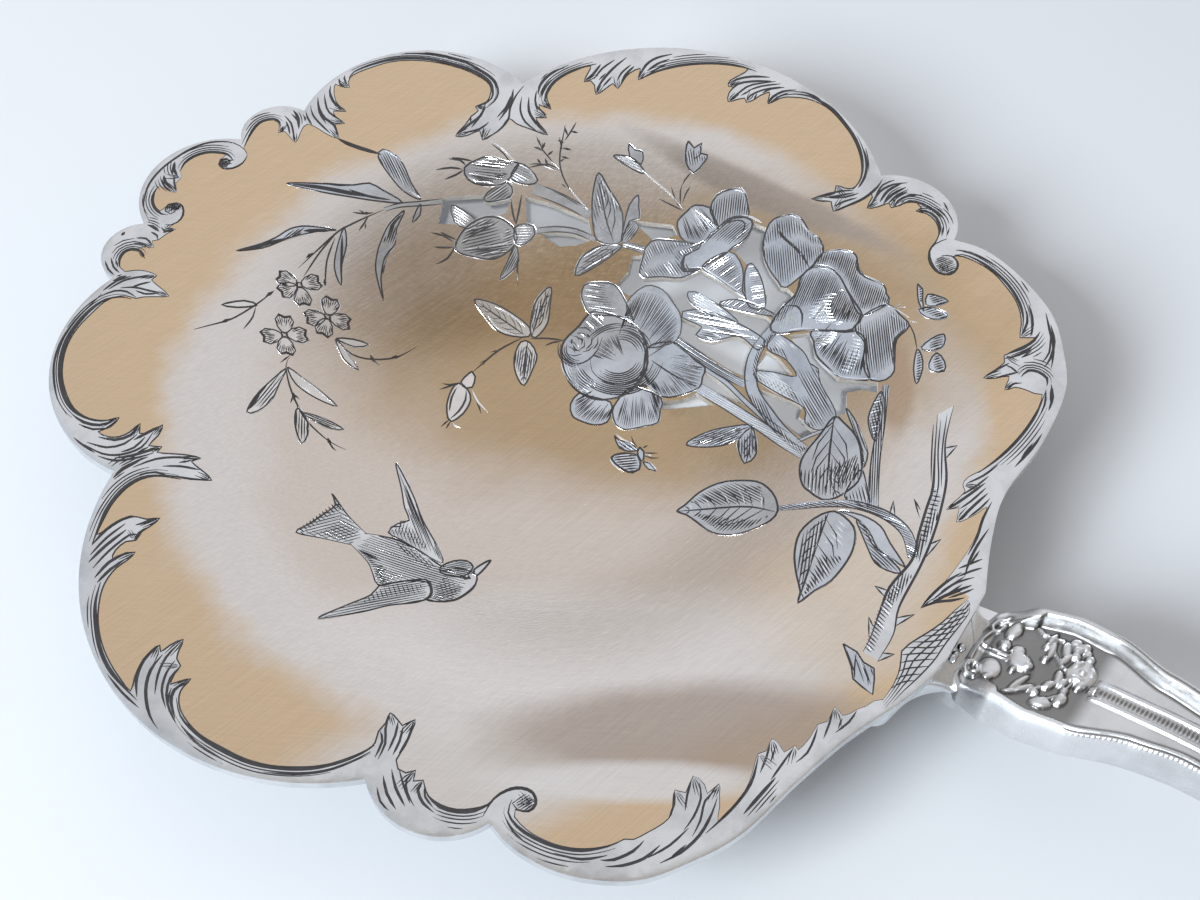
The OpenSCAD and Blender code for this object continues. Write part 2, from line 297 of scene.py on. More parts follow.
def makeGilt():
    made, tree, shader = newMaterial("giltSilver", 1)
    polish = placePolish(tree, *giltFinish["polish"])
    coords = put(tree, "ShaderNodeTexCoord")
    flat = put(tree, "ShaderNodeVectorMath", {"operation": "MULTIPLY"})
    flat.inputs[1].default_value = (1, 1, 0)
    join(tree, coords, "Object", flat, 0)
    # the gilding is rubbed thin in the well, with an uneven edge
    stops = giltFinish["wornTones"]
    reach = put(tree, "ShaderNodeVectorMath", {"operation": "DISTANCE"})
    reach.inputs[1].default_value = giltFinish["wornCentre"]
    join(tree, flat, "Vector", reach, 0)
    uneven = unsettle(tree, polish, reach, giltFinish["wornUneven"])
    start = giltFinish["wornStart"]
    reached = remap(tree, uneven, "Value", start, stops[-1][0] + start)
    base = put(tree, "ShaderNodeValToRGB")
    base.color_ramp.interpolation = "EASE"
    while len(base.color_ramp.elements) < len(stops):
        base.color_ramp.elements.new(0.5)
    for stop, (far, tone) in zip(base.color_ramp.elements, stops):
        stop.position = far / stops[-1][0]
        stop.color = giltFinish[tone]
    join(tree, reached, "Result", base, "Fac")
    # painted reflections: brown ovals of painted dark reflection round the flowers and at the near wall,
    # paler ovals of painted highlight between them
    toned = base
    for (x, y), (long, short), turn, tone, share in giltFinish["paintedReflections"]:
        oval = put(tree, "ShaderNodeMapping", {"vector_type": "TEXTURE"}, Location=(x, y, 0),
                   Rotation=(0, 0, turn), Scale=(long, short, 1))
        join(tree, flat, "Vector", oval, "Vector")
        apart = put(tree, "ShaderNodeVectorMath", {"operation": "LENGTH"})
        join(tree, oval, "Vector", apart, 0)
        uneven = unsettle(tree, polish, apart, giltFinish["reflectionUneven"])
        mask = remap(tree, uneven, "Value", *giltFinish["reflectionFade"], 0, share, "SMOOTHSTEP")
        under = toned
        toned = mixTones(tree, mask, "Result", tone, tone)
        join(tree, under, "Color" if under == base else "Result", toned, "A")
    rubbed = scratchTint(tree, polish, toned, giltFinish["scratchTone"])
    join(tree, rubbed, "Result", shader, "Base Color")
    roughFrom(tree, polish, "Scratch", *giltFinish["roughness"], shader)
    bumpFrom(tree, polish, "Scratch", *giltFinish["bump"], shader)
    return made


silverFinish = {
    "plate": ((0.76, 0.77, 0.785, 1), (0.54, 0.55, 0.565, 1)),
    "spray": ((0.78, 0.75, 0.72, 1), (0.62, 0.59, 0.565, 1)),
    "flower": ((0.64, 0.665, 0.71, 1), (0.43, 0.45, 0.49, 1)),
    "sawn": ((0.86, 0.83, 0.79, 1), (0.7, 0.66, 0.61, 1)),
    "handle": ((0.8, 0.8, 0.81, 1), (0.6, 0.6, 0.61, 1)),
    "tang": ((0.42, 0.41, 0.4, 1), (0.22, 0.2, 0.19, 1)),
    # dark tone for tarnish in the stamped relief and for painted shade round its ornaments
    "tarnishShadeColour": (0.1, 0.092, 0.083, 1),
    "patches": (0.42, 0.75),
    "roughness": (0.16, 0.3),
    "bump": (0.12, 0.00006),
}


def makeSilver(name, tones, scratchSize, cloudSize, recessed=False, roughness=silverFinish["roughness"]):
    made, tree, shader = newMaterial(name, 1)
    polish = placePolish(tree, scratchSize, cloudSize)
    patchy = remap(tree, polish, "Cloud", *silverFinish["patches"])
    tint = mixTones(tree, patchy, "Result", *tones)
    if recessed:
        # tarnish left in the low places of the stamped relief, with painted shade round the foot of each
        # ornament
        low = put(tree, "ShaderNodeAttribute", {"attribute_name": "tarnishAndShade"})
        clean = tint
        tint = mixTones(tree, low, "Fac", tones[0], silverFinish["tarnishShadeColour"])
        join(tree, clean, "Result", tint, "A")
    join(tree, tint, "Result", shader, "Base Color")
    roughFrom(tree, polish, "Scratch", *roughness, shader)
    bumpFrom(tree, polish, "Scratch", *silverFinish["bump"], shader)
    return made


# cut finishes: the dark tone is the blackened engraving, the bright tone paints highlights where cuts would
# catch the light
cutFinish = {
    "darkDeep": (0.045, 0.043, 0.045, 1),
    "darkPale": (0.13, 0.125, 0.13, 1),
    "brightLow": (0.8, 0.84, 0.9, 1),
    "brightHigh": (0.95, 0.96, 0.98, 1),
    "polish": (6000, 700),
    "roughSpread": (-0.05, 0.08),
}


def makeCut(name, low, high, roughness):
    made, tree, shader = newMaterial(name, 1)
    polish = placePolish(tree, *cutFinish["polish"])
    tint = mixTones(tree, polish, "Cloud", low, high)
    join(tree, tint, "Result", shader, "Base Color")
    less, more = cutFinish["roughSpread"]
    roughFrom(tree, polish, "Scratch", roughness + less, roughness + more, shader)
    return made


giltMetal = makeGilt()
plateSilver = makeSilver("engravedSilver", silverFinish["plate"], 5200, 240)
flowerSilver = makeSilver("flowerSilver", silverFinish["flower"], 5200, 300)
spraySilver = makeSilver("spraySilver", silverFinish["spray"], 5200, 300)
sawnEdge = makeSilver("sawnEdge", silverFinish["sawn"], 5200, 300, roughness=(0.5, 0.65))
handleSilver = makeSilver("handleSilver", silverFinish["handle"], 3600, 130)
stampedSilver = makeSilver("stampedSilver", silverFinish["handle"], 3600, 130, True, (0.24, 0.38))
darkCut = makeCut("blackenedCut", cutFinish["darkDeep"], cutFinish["darkPale"], 0.42)
# painted highlight strips beside and across the engraving
paintedGlintCut = makeCut("paintedGlintCut", cutFinish["brightLow"], cutFinish["brightHigh"], 0.24)
tangSteel = makeSilver("tangSteel", silverFinish["tang"], 2600, 180)


cement = {
    "tones": [(0.2, 0.11, 0.07, 1), (0.34, 0.21, 0.14, 1)],
    "grain": 900,
    "detail": 6,
    "roughness": (0.7, 0.95),
    "bump": (0.4, 0.0002),
}


def makeCement():
    made, tree, shader = newMaterial("handleCement")
    coords = put(tree, "ShaderNodeTexCoord")
    grain = put(tree, "ShaderNodeTexNoise", Scale=cement["grain"], Detail=cement["detail"])
    join(tree, coords, "Object", grain, "Vector")
    tint = mixTones(tree, grain, "Fac", *cement["tones"])
    join(tree, tint, "Result", shader, "Base Color")
    roughFrom(tree, grain, "Fac", *cement["roughness"], shader)
    bumpFrom(tree, grain, "Fac", *cement["bump"], shader)
    return made


fillerCement = makeCement()
print("materials made")


def layFloor():
    mesh = bpy.data.meshes.new("paleTable")
    half = room["floorHalf"]
    corners = [(-half, -half, 0), (half, -half, 0), (half, half, 0), (-half, half, 0)]
    mesh.from_pydata(corners, [], [(0, 1, 2, 3)])
    table = bpy.data.objects.new("paleTable", mesh)
    bpy.context.scene.collection.objects.link(table)
    made, tree, shader = newMaterial("paleTable")
    coords = put(tree, "ShaderNodeTexCoord")
    mottle = put(tree, "ShaderNodeTexNoise", Scale=room["floorGrain"], Detail=room["floorDetail"])
    join(tree, coords, "Object", mottle, "Vector")
    red, green, blue = room["floorColour"]
    worn = room["floorMottle"]
    tint = mixTones(tree, mottle, "Fac", (red * worn, green * worn, blue * worn, 1), (red, green, blue, 1))
    join(tree, tint, "Result", shader, "Base Color")
    shader.inputs["Roughness"].default_value = room["floorRoughness"]
    mesh.materials.append(made)


layFloor()


# drawing board: plates of bare silver, pierced windows and engraved cuts, in millimetres
board = {
    "plates": [],
    "cuts": [],
    "metal": "flower",
    # share of dark hatch strokes that get a painted glint beside them
    "sparkle": 0.35,
    "hatchDensity": 1.05,
    "hatchBreadth": 1.2,
    "fanReach": 1,
    "lineBreadth": 0.85,
    # how unevenly the hand cuts: where strokes start and end, their breadth, the shortest one worth a cut
    "looseStart": 0.04,
    "looseEnd": 0.07,
    "looseBreadth": (0.8, 1.2),
    "looseSpacing": (0.94, 1.06),
    "looseArc": 8,
    "shortest": 0.22,
    # painted glints beside outlines: how far aside, points per stretch, share painted, breadth
    "glint": {"aside": -0.09, "points": 5, "share": 0.34, "width": 0.07},
    "vein": {"furthest": 8, "probe": 0.15, "loose": (0.85, 1), "shortest": 0.4, "bend": 0.16, "knee": 0.55},
}


def at(*values):
    # points of the drawing: x and y by turns, in tenths of a millimetre
    return [(x / 10, y / 10) for x, y in zip(values[::2], values[1::2])]


def smooth(points, step=0.7, closed=False):
    # round curve through the points
    count = len(points)
    line = []
    for i in range(count if closed else count - 1):
        b = points[i]
        c = points[(i + 1) % count]
        a = points[i - 1] if closed or i > 0 else b
        d = points[(i + 2) % count] if closed or i + 2 < count else c
        steps = max(1, math.ceil(math.dist(b, c) / step))
        for s in range(steps):
            t = s / steps
            spot = []
            for k in (0, 1):
                bend = 2 * a[k] - 5 * b[k] + 4 * c[k] - d[k]
                twist = 3 * b[k] - a[k] - 3 * c[k] + d[k]
                spot.append(0.5 * (2 * b[k] + (c[k] - a[k]) * t + bend * t * t + twist * t ** 3))
            line.append(tuple(spot))
    if not closed:
        line.append(tuple(points[-1]))
    return line


def area(points):
    total = 0
    for (ax, ay), (bx, by) in zip(points, points[1:] + points[:1]):
        total += ax * by - bx * ay
    return total / 2


def normals(line, closed=False):
    # unit normals on the left of a line
    last = len(line) - 1
    made = []
    for i in range(len(line)):
        ax, ay = line[i - 1 if closed else max(0, i - 1)]
        bx, by = line[(i + 1) % len(line) if closed else min(last, i + 1)]
        span = math.dist((ax, ay), (bx, by)) or 1
        made.append((-(by - ay) / span, (bx - ax) / span))
    return made


def insetLoop(loop, amount):
    return [(x + nx * amount, y + ny * amount) for (x, y), (nx, ny) in zip(loop, normals(loop, True))]


def plate(points, kind="silver"):
    facing = points if area(points) > 0 else points[::-1]
    board["plates"].append((kind, facing))
    return facing


def cut(points, width=0.16, tone="dark"):
    board["cuts"].append((points, width, tone))


def engrave(points, width=0.16, tone="dark", closed=False):
    line = smooth(points, 0.8, closed)
    if closed:
        line.append(line[0])
    cut(line, width, tone)


def engraveAll(width, lines, tone="dark"):
    for values in lines:
        engrave(at(*values), width, tone)


def inside(shape, x, y):
    found = False
    for (ax, ay), (bx, by) in zip(shape, shape[1:] + shape[:1]):
        if (ay > y) != (by > y) and x < ax + (y - ay) / (by - ay) * (bx - ax):
            found = not found
    return found


def hatch(shape, angle, spacing, start=0.04, end=0.96, width=0.09, tone="dark"):
    # parallel strokes clipped to the shape, each covering part of its run
    c = math.cos(math.radians(angle))
    s = math.sin(math.radians(angle))
    turned = [(x * c + y * s, y * c - x * s) for x, y in shape]
    if tone == "dark":
        spacing /= board["hatchDensity"]
        width *= board["hatchBreadth"]
    level = min(v for u, v in turned) + spacing * 0.6
    top = max(v for u, v in turned)
    while level < top:
        hits = []
        for (au, av), (bu, bv) in zip(turned, turned[1:] + turned[:1]):
            if (av > level) != (bv > level):
                hits.append(au + (level - av) / (bv - av) * (bu - au))
        hits.sort()
        for low, high in zip(hits[::2], hits[1::2]):
            run = high - low
            first = low + run * (start + rng.uniform(0, board["looseStart"]))
            last = low + run * (end - rng.uniform(0, board["looseEnd"]))
            if last - first > board["shortest"]:
                steps = max(2, math.ceil((last - first) / 0.9))
                line = []
                for i in range(steps + 1):
                    u = first + (last - first) * i / steps
                    line.append((u * c - level * s, u * s + level * c))
                cut(line, width * rng.uniform(*board["looseBreadth"]), tone)
                # painted glint: a bright strip beside some of the dark strokes
                if tone == "dark" and rng.random() < board["sparkle"]:
                    aside = spacing * 0.5
                    cut([(x - s * aside, y + c * aside) for x, y in line], width * 0.8, "bright")
        level += spacing * rng.uniform(*board["looseSpacing"])


def fan(edge, focus, count, low=0.2, high=0.6, width=0.09, tone="dark", gap=0.04):
    # strokes that run in from an edge towards one point
    line = smooth(edge, 0.1)
    if tone == "dark":
        count = round(count * board["hatchDensity"])
        width *= board["hatchBreadth"]
    for i in range(count):
        spot = line[round(i * (len(line) - 1) / max(1, count - 1))]
        share = min(0.94, rng.uniform(low, high) * board["fanReach"])
        ends = []
        for part in (gap, (gap + share) / 2, share):
            ends.append((spot[0] + (focus[0] - spot[0]) * part, spot[1] + (focus[1] - spot[1]) * part))
        cut(ends, width * rng.uniform(*board["looseBreadth"]), tone)


def arcs(centre, radii, start, end, width=0.09, tone="dark"):
    if tone == "dark":
        width *= board["hatchBreadth"]
    loose = board["looseArc"]
    for radius in radii:
        a0 = math.radians(start + rng.uniform(-loose, loose))
        a1 = math.radians(end + rng.uniform(-loose, loose))
        steps = max(3, math.ceil(abs(a1 - a0) * radius / 0.6))
        line = []
        for i in range(steps + 1):
            a = a0 + (a1 - a0) * i / steps
            line.append((centre[0] + radius * math.cos(a), centre[1] + radius * math.sin(a)))
        cut(line, width, tone)


def spread(first, last, count):
    return [first + (last - first) * i / (count - 1) for i in range(count)]


def veins(shape, rib, count, reach=0.86, lean=48, width=0.1, sides=(1, -1), tone="dark"):
    # side veins that leave the midrib and stop short of the leaf's edge
    line = smooth(rib, 0.25)
    vein = board["vein"]
    for i in range(1, count + 1):
        k = round(i * (len(line) - 2) / (count + 1))
        x, y = line[k]
        heading = math.atan2(line[k + 1][1] - y, line[k + 1][0] - x)
        for side in sides:
            turn = heading + side * math.radians(lean)
            c = math.cos(turn)
            s = math.sin(turn)
            far = 0
            while far < vein["furthest"] and inside(shape, x + far * c, y + far * s):
                far += vein["probe"]
            far *= reach * rng.uniform(*vein["loose"])
            if far > vein["shortest"]:
                tip = turn - side * vein["bend"]
                near = far * vein["knee"]
                end = (x + far * math.cos(tip), y + far * math.sin(tip))
                cut([(x, y), (x + near * c, y + near * s), end], width * board["hatchBreadth"], tone)


def glint(shape):
    # painted glints: here and there a bright strip beside the far side of an outline's cut, where it would
    # catch the light
    settings = board["glint"]
    run = []
    for spot in insetLoop(shape, settings["aside"]):
        run.append(spot)
        if len(run) > settings["points"]:
            if rng.random() < settings["share"]:
                cut(run, settings["width"], "bright")
            run = [spot]


def leaf(edge, rib=None, veinCount=0, lean=48, line=0.15, hatches=()):
    shape = plate(smooth(edge, closed=True), board["metal"])
    line *= board["lineBreadth"]
    engrave(edge, line, closed=True)
    glint(shape)
    if rib:
        engrave(rib, line)
        veins(shape, rib, veinCount, lean=lean)
    for settings in hatches:
        hatch(shape, *settings)
    return shape


def band(points, wide, narrow, line=0.12, fill=None):
    # stem: a silver strip along a curve, lined on both sides
    middle = smooth(points, 0.7)
    left = []
    right = []
    last = len(middle) - 1
    for i, ((x, y), (nx, ny)) in enumerate(zip(middle, normals(middle))):
        half = (wide + (narrow - wide) * i / last) / 2
        left.append((x + nx * half, y + ny * half))
        right.append((x - nx * half, y - ny * half))
    shape = plate(left + right[::-1], board["metal"])
    cut(left, line * board["lineBreadth"])
    cut(right, line * board["lineBreadth"])
    if fill:
        hatch(shape, *fill)
    return shape


def windows(*shapes):
    for values in shapes:
        plate(at(*values), "window")


# rim: the scrolled silver edge, from the tip round to the heel on each side
rim = {
    "boldness": 0.95,
    "ribWidth": 0.1,
    # ribs beside a scroll: how far away, start, end
    "ribs": [(0.34, 0.02, 0.97), (0.62, 0.1, 0.88), (0.95, 0.2, 0.78), (1.35, 0.34, 0.66)],
    "sharpTip": 0.75,
    "tipTurns": (-0.34, 0, 0.34),
    "tipReach": (1, 1.9),
    "upper": at(-459,1, -462,9, -463,18, -461,28, -454,39, -445,44, -437,45, -437,38, -434,31, -427,29,
        -420,33, -417,40, -416,48, -420,57, -429,62, -433,71, -438,83, -440,93, -438,103, -432,109,
        -425,109, -419,104, -415,98, -412,103, -403,101, -392,98, -396,109, -400,119, -399,125, -386,126,
        -374,125, -360,127, -369,135, -376,141, -369,147, -382,149, -390,154, -379,161, -389,163, -398,167,
        -408,176, -414,185, -407,186, -399,190, -405,195, -408,202, -406,212, -399,227, -390,242, -377,255,
        -360,266, -340,274, -320,279, -305,280, -290,279, -280,274, -274,265, -271,255, -276,243, -270,240,
        -271,230, -269,218, -268,200, -259,208, -253,220, -244,213, -240,223, -237,236, -239,250, -228,249,
        -214,252, -195,257, -208,262, -217,267, -208,273, -220,278, -225,283, -211,285, -222,293, -229,304,
        -231,318, -229,334, -223,349, -215,360, -211,349, -207,337, -202,342, -195,339, -186,329, -183,341,
        -181,352, -173,349, -175,362, -176,374, -171,387, -163,372, -159,384, -153,395, -144,408, -129,425,
        -112,438, -91,448, -79,451, -81,439, -85,426, -82,418, -77,420, -76,410, -70,399, -64,407, -59,413,
        -54,409, -50,416, -48,425, -43,435, -39,428, -35,420, -31,429, -27,437, -19,443, -7,449, 6,451,
        22,449, 44,439, 64,426, 82,408, 93,391, 97,378, 96,368, 89,364, 81,362, 85,352, 78,343, 70,334,
        81,337, 88,341, 96,332, 103,343, 110,359, 114,374, 118,369, 121,354, 129,362, 135,372, 140,368,
        144,374, 149,383, 157,388, 164,385, 162,378, 171,381, 181,379, 189,373, 195,364, 197,353, 197,343,
        202,331, 210,324, 219,321, 227,325, 230,334, 227,343, 220,348, 228,353, 245,354, 262,351, 277,344,
        292,335, 304,323, 312,310, 318,296, 324,300, 329,304, 328,289, 323,280, 316,269, 320,262, 317,249,
        313,235, 322,241, 331,250, 335,234, 341,242, 350,245, 359,246, 365,249, 369,234, 371,217, 370,198,
        369,180, 366,163, 361,146, 354,131, 354,121, 359,116, 357,103, 355,90, 363,98, 368,84, 374,92,
        379,104, 382,113, 385,100, 388,84, 390,66, 390,46, 389,26, 386,6, 385,-8, 392,6, 399,22, 408,25),
    "lower": at(-459,1, -452,-4, -451,-13, -441,-22, -448,-25, -456,-24, -462,-26, -459,-35, -453,-43,
        -445,-48, -438,-49, -437,-40, -434,-33, -426,-31, -418,-36, -414,-44, -415,-53, -416,-60, -409,-57,
        -412,-67, -413,-77, -417,-82, -410,-87, -418,-91, -421,-96, -407,-102, -418,-99, -425,-102,
        -428,-110, -424,-118, -418,-124, -411,-125, -404,-118, -395,-113, -383,-111, -383,-118, -370,-120,
        -356,-123, -366,-131, -375,-138, -379,-143, -389,-146, -396,-153, -400,-163, -400,-180, -398,-200,
        -392,-218, -382,-234, -368,-249, -350,-261, -334,-268, -320,-269, -309,-266, -300,-260, -294,-252,
        -293,-264, -298,-274, -287,-273, -279,-267, -275,-258, -274,-246, -267,-254, -260,-247, -257,-235,
        -252,-246, -251,-259, -241,-253, -240,-260, -229,-253, -218,-245, -208,-240, -211,-248, -198,-249,
        -185,-251, -196,-260, -206,-267, -215,-272, -224,-279, -231,-288, -235,-302, -234,-320, -229,-336,
        -222,-352, -219,-342, -216,-330, -212,-322, -206,-319, -198,-316, -190,-309, -191,-320, -193,-328,
        -191,-337, -197,-343, -198,-354, -194,-362, -189,-351, -183,-346, -183,-356, -185,-366, -184,-377,
        -180,-388, -172,-400, -160,-413, -144,-425, -126,-434, -108,-440, -94,-443, -100,-432, -105,-419,
        -106,-407, -104,-399, -99,-403, -97,-394, -92,-384, -88,-393, -84,-400, -77,-403, -76,-411,
        -72,-420, -68,-414, -62,-407, -62,-416, -59,-424, -50,-432, -36,-437, -20,-439, 0,-437, 20,-434,
        40,-427, 58,-416, 74,-403, 86,-387, 94,-372, 95,-364, 91,-355, 91,-346, 88,-337, 96,-338, 103,-340,
        108,-330, 112,-339, 116,-352, 118,-366, 124,-371, 131,-370, 136,-364, 140,-372, 146,-367, 151,-371,
        158,-375, 170,-375, 182,-371, 192,-363, 199,-354, 201,-343, 205,-333, 212,-327, 220,-325, 228,-329,
        230,-336, 226,-342, 219,-345, 222,-350, 229,-352, 242,-353, 260,-350, 276,-343, 290,-332, 298,-322,
        301,-316, 307,-312, 313,-300, 318,-288, 319,-278, 314,-269, 310,-260, 318,-257, 315,-242, 326,-243,
        332,-248, 335,-236, 340,-243, 346,-252, 351,-262, 354,-250, 355,-236, 353,-220, 349,-207, 346,-197,
        350,-191, 348,-180, 356,-181, 362,-184, 366,-174, 370,-176, 372,-162, 371,-148, 376,-141, 374,-127,
        383,-130, 387,-125, 390,-118, 394,-112, 397,-104, 402,-99),
    "ledge": at(413,25, 409,6, 405,-14, 392,-49, 397,-62, 402,-80, 402,-99, 500,-99, 500,25),
    "ledgeInner": at(413,22, 409,6, 405,-14, 392.5,-49, 397.5,-62, 402,-80, 402,-100),
    "ledgeOuter": at(416,20, 420,11, 418,-24, 418,-44, 415,-66, 411,-86, 409,-106),
    "outerUpper": at(500,25, 500,560, -600,560, -600,1),
    "outerLower": at(500,-99, 500,-560, -600,-560, -600,1),
}


def scrollAll(width, lines):
    # a bold scroll line and the finer ribs that follow it on its outer side
    for values in lines:
        engrave(at(*values), width * rim["boldness"])
        line = smooth(at(*values), 0.5)
        sides = normals(line)
        mid = len(line) // 2
        outward = 1 if sides[mid][0] * line[mid][0] + sides[mid][1] * line[mid][1] > 0 else -1
        for away, start, end in rim["ribs"]:
            rib = []
            shift = outward * away
            first = round(len(line) * (start + rng.uniform(0, 0.05)))
            last = round(len(line) * (end - rng.uniform(0, 0.08)))
            for (x, y), (nx, ny) in zip(line[first:last], sides[first:last]):
                rib.append((x + nx * shift, y + ny * shift))
            if len(rib) > 2:
                cut(rib, rim["ribWidth"])


def frillTips(points, shape):
    # three short strokes run back from each leaf tip
    for a, b, c in zip(points, points[1:], points[2:]):
        before = math.dist(a, b)
        after = math.dist(b, c)
        back = [(a[k] - b[k]) / before + (c[k] - b[k]) / after for k in (0, 1)]
        size = math.hypot(*back)
        if size < rim["sharpTip"]:
            continue
        heading = math.atan2(back[1], back[0])
        if not inside(shape, b[0] + 0.5 * math.cos(heading), b[1] + 0.5 * math.sin(heading)):
            continue
        for turn in rim["tipTurns"]:
            reach = rng.uniform(*rim["tipReach"])
            line = []
            for far, bend in ((0.24, 1), (0.5 * reach, 0.8), (reach, 0.45)):
                way = heading + turn * bend
                line.append((b[0] + far * math.cos(way), b[1] + far * math.sin(way)))
            cut(line, rim["ribWidth"])


def drawRim():
    for side, outer in (("upper", "outerUpper"), ("lower", "outerLower")):
        line = smooth(rim[side], 0.8)
        shape = plate(line + rim[outer])
        cut(line, 0.12)
        frillTips(rim[side], shape)
    plate(rim["ledge"])

    # tip scroll with its two curled ends and the small leaf between them
    scrollAll(0.34, [
        [-426,43, -436,46, -447,42, -456,35, -462,24, -463,12, -459,2],
        [-462,-27, -460,-34, -454,-43, -445,-49, -434,-51, -428,-48], [-472,8, -466,0, -456,-5],
        [-468,-12, -460,-18, -446,-21], [-451,113, -446,123, -436,130, -424,131, -412,125, -404,116],
        [-430,64, -436,78, -440,92, -439,102, -432,110, -424,110, -418,104],
        [-446,-94, -446,-82, -440,-72, -430,-68, -420,-69], [-422,-64, -415,-66, -412,-60],
        [-408,-102, -416,-98, -425,-100, -429,-108, -426,-117, -419,-124],
    ])
    engraveAll(0.2, [
        [-422,59, -434,62, -448,59, -462,48, -471,32, -475,12, -476,-8, -472,-28, -462,-46, -450,-58,
         -436,-65],
        [-419,56, -416,46, -419,35, -427,29, -434,31, -437,37, -433,41, -428,41, -425,37],
        [-419,-60, -414,-50, -416,-40, -424,-32, -432,-32, -437,-38, -434,-46, -427,-46, -425,-41],
        [-469,1, -462,-6], [-466,-17, -458,-22, -450,-24], [-460,-6, -452,-14, -443,-21],
        [-426,120, -414,116, -404,108, -393,98], [-420,115, -412,110, -404,103],
        [-422,126, -409,122, -402,114], [-418,107, -412,102], [-450,92, -447,82, -440,68],
        [-426,-74, -418,-74, -413,-78], [-432,-88, -424,-83, -414,-85], [-429,-94, -420,-90, -412,-90],
        [-434,-120, -424,-127, -414,-129], [-436,-126, -426,-132, -416,-134], [-429,-119, -420,-125],
    ])
    arcs((-42.9, 3.6), spread(0.2, 0.7, 4), 120, 330, 0.12)
    arcs((-42.8, -4), spread(0.2, 0.7, 4), 30, 240, 0.12)

    # front lobes
    scrollAll(0.42, [
        [-408,200, -410,210, -404,226, -393,244, -379,258, -360,270, -340,277, -320,282, -302,283, -286,280,
         -276,272, -270,262, -271,250, -275,244],
        [-382,-146, -392,-150, -401,-160, -404,-176, -402,-196, -396,-216, -385,-234, -370,-250, -350,-264,
         -332,-270, -316,-269, -304,-264, -295,-254],
        [-406,-128, -412,-140, -415,-156, -416,-172, -414,-190],
    ])
    engraveAll(0.28, [
        [-414,202, -415,216, -409,232, -398,250, -380,266, -360,279, -340,286, -318,289, -296,287, -280,282,
         -269,272, -265,260, -266,250],
        [-419,186, -412,174, -400,165, -384,160], [-416,160, -404,148, -390,141, -376,139, -362,128],
        [-260,286, -252,272, -247,256, -245,242], [-240,286, -228,270, -214,262, -196,257],
        [-270,252, -264,236, -266,220, -268,204], [-295,-256, -302,-268, -316,-274, -330,-274],
        [-274,-248, -272,-260, -280,-272, -294,-278], [-258,-238, -262,-250, -266,-262],
        [-242,-256, -248,-264, -256,-276, -266,-286],
    ])
    engraveAll(0.2, [
        [-419,202, -416,194, -410,188, -402,187], [-416,204, -412,197, -404,192],
        [-414,168, -404,158, -392,150, -372,148], [-418,150, -404,138, -388,132, -372,128],
        [-418,142, -406,132, -394,126], [-414,136, -404,127], [-412,156, -400,144, -384,136],
        [-256,276, -250,260, -249,244], [-254,296, -252,280, -246,262, -238,248, -238,230, -244,214],
        [-266,246, -263,230, -262,218], [-252,234, -254,222, -264,208], [-252,226, -246,215],
        [-272,230, -266,222], [-246,282, -236,266, -222,256, -204,254], [-236,292, -226,280, -210,276],
        [-239,298, -232,286, -220,274],
        [-409,-158, -408,-176, -406,-196, -400,-218, -389,-238, -374,-254, -354,-269, -334,-277],
        [-402,-126, -409,-138, -411,-154], [-382,-113, -394,-121, -404,-134, -408,-150],
        [-360,-123, -376,-129, -390,-134, -400,-142], [-382,-120, -388,-128, -392,-136],
        [-366,-126, -376,-134, -386,-136], [-380,-142, -392,-142, -402,-148, -408,-160],
        [-294,-266, -304,-275, -318,-278], [-268,-256, -270,-270, -280,-282, -298,-288],
        [-258,-246, -255,-264, -264,-280, -278,-289, -298,-291], [-260,-254, -260,-268, -266,-278],
        [-242,-262, -250,-274, -264,-288, -280,-293], [-250,-260, -254,-270], [-243,-268, -249,-278],
        [-346,-280, -326,-288, -304,-292, -284,-292],
    ])

    # long side lobes
    scrollAll(0.36, [
        [-212,285, -224,292, -230,306, -232,320, -229,336, -222,352, -212,366],
        [-162,374, -154,394, -142,412, -126,428, -108,441, -88,450, -70,453],
        [-30,438, -20,448, -6,454, 8,454, 24,451, 44,441, 64,428, 80,412, 92,394, 97,379, 97,367],
        [-246,-274, -252,-290, -252,-302, -252,-312],
        [-204,-268, -224,-279, -234,-292, -237,-308, -234,-326, -228,-342, -218,-362],
        [-186,-384, -176,-400, -162,-414, -144,-428, -124,-438, -104,-443, -84,-446],
        [-60,-426, -46,-436, -26,-440, 0,-439, 26,-434, 48,-424, 68,-410, 84,-392, 93,-376, 96,-366],
    ])
    engraveAll(0.27, [
        [-234,294, -240,304, -243,318, -241,332, -236,342], [-208,368, -206,352, -207,339],
        [-192,392, -194,370, -192,346, -187,331], [-178,386, -178,370, -174,356],
        [-156,424, -166,410, -169,394, -164,374], [-154,416, -160,404, -163,388],
        [-54,454, -70,444, -80,432, -84,420], [-50,450, -66,438, -76,426, -76,412],
        [-22,454, -32,444, -36,432, -35,421], [76,422, 90,406, 98,388, 100,372],
        [113,400, 115,384, 112,364, 104,346, 97,334], [-218,-362, -219,-344, -215,-328, -208,-320],
        [-208,-376, -208,-356, -205,-334], [-193,-384, -194,-366, -189,-352, -184,-347],
        [-188,-386, -188,-370, -185,-356], [-104,-400, -105,-416, -98,-432, -86,-444],
        [-96,-404, -94,-420, -84,-436, -66,-450, -46,-456, -26,-457],
        [-63,-409, -66,-422, -60,-432, -48,-440],
    ])
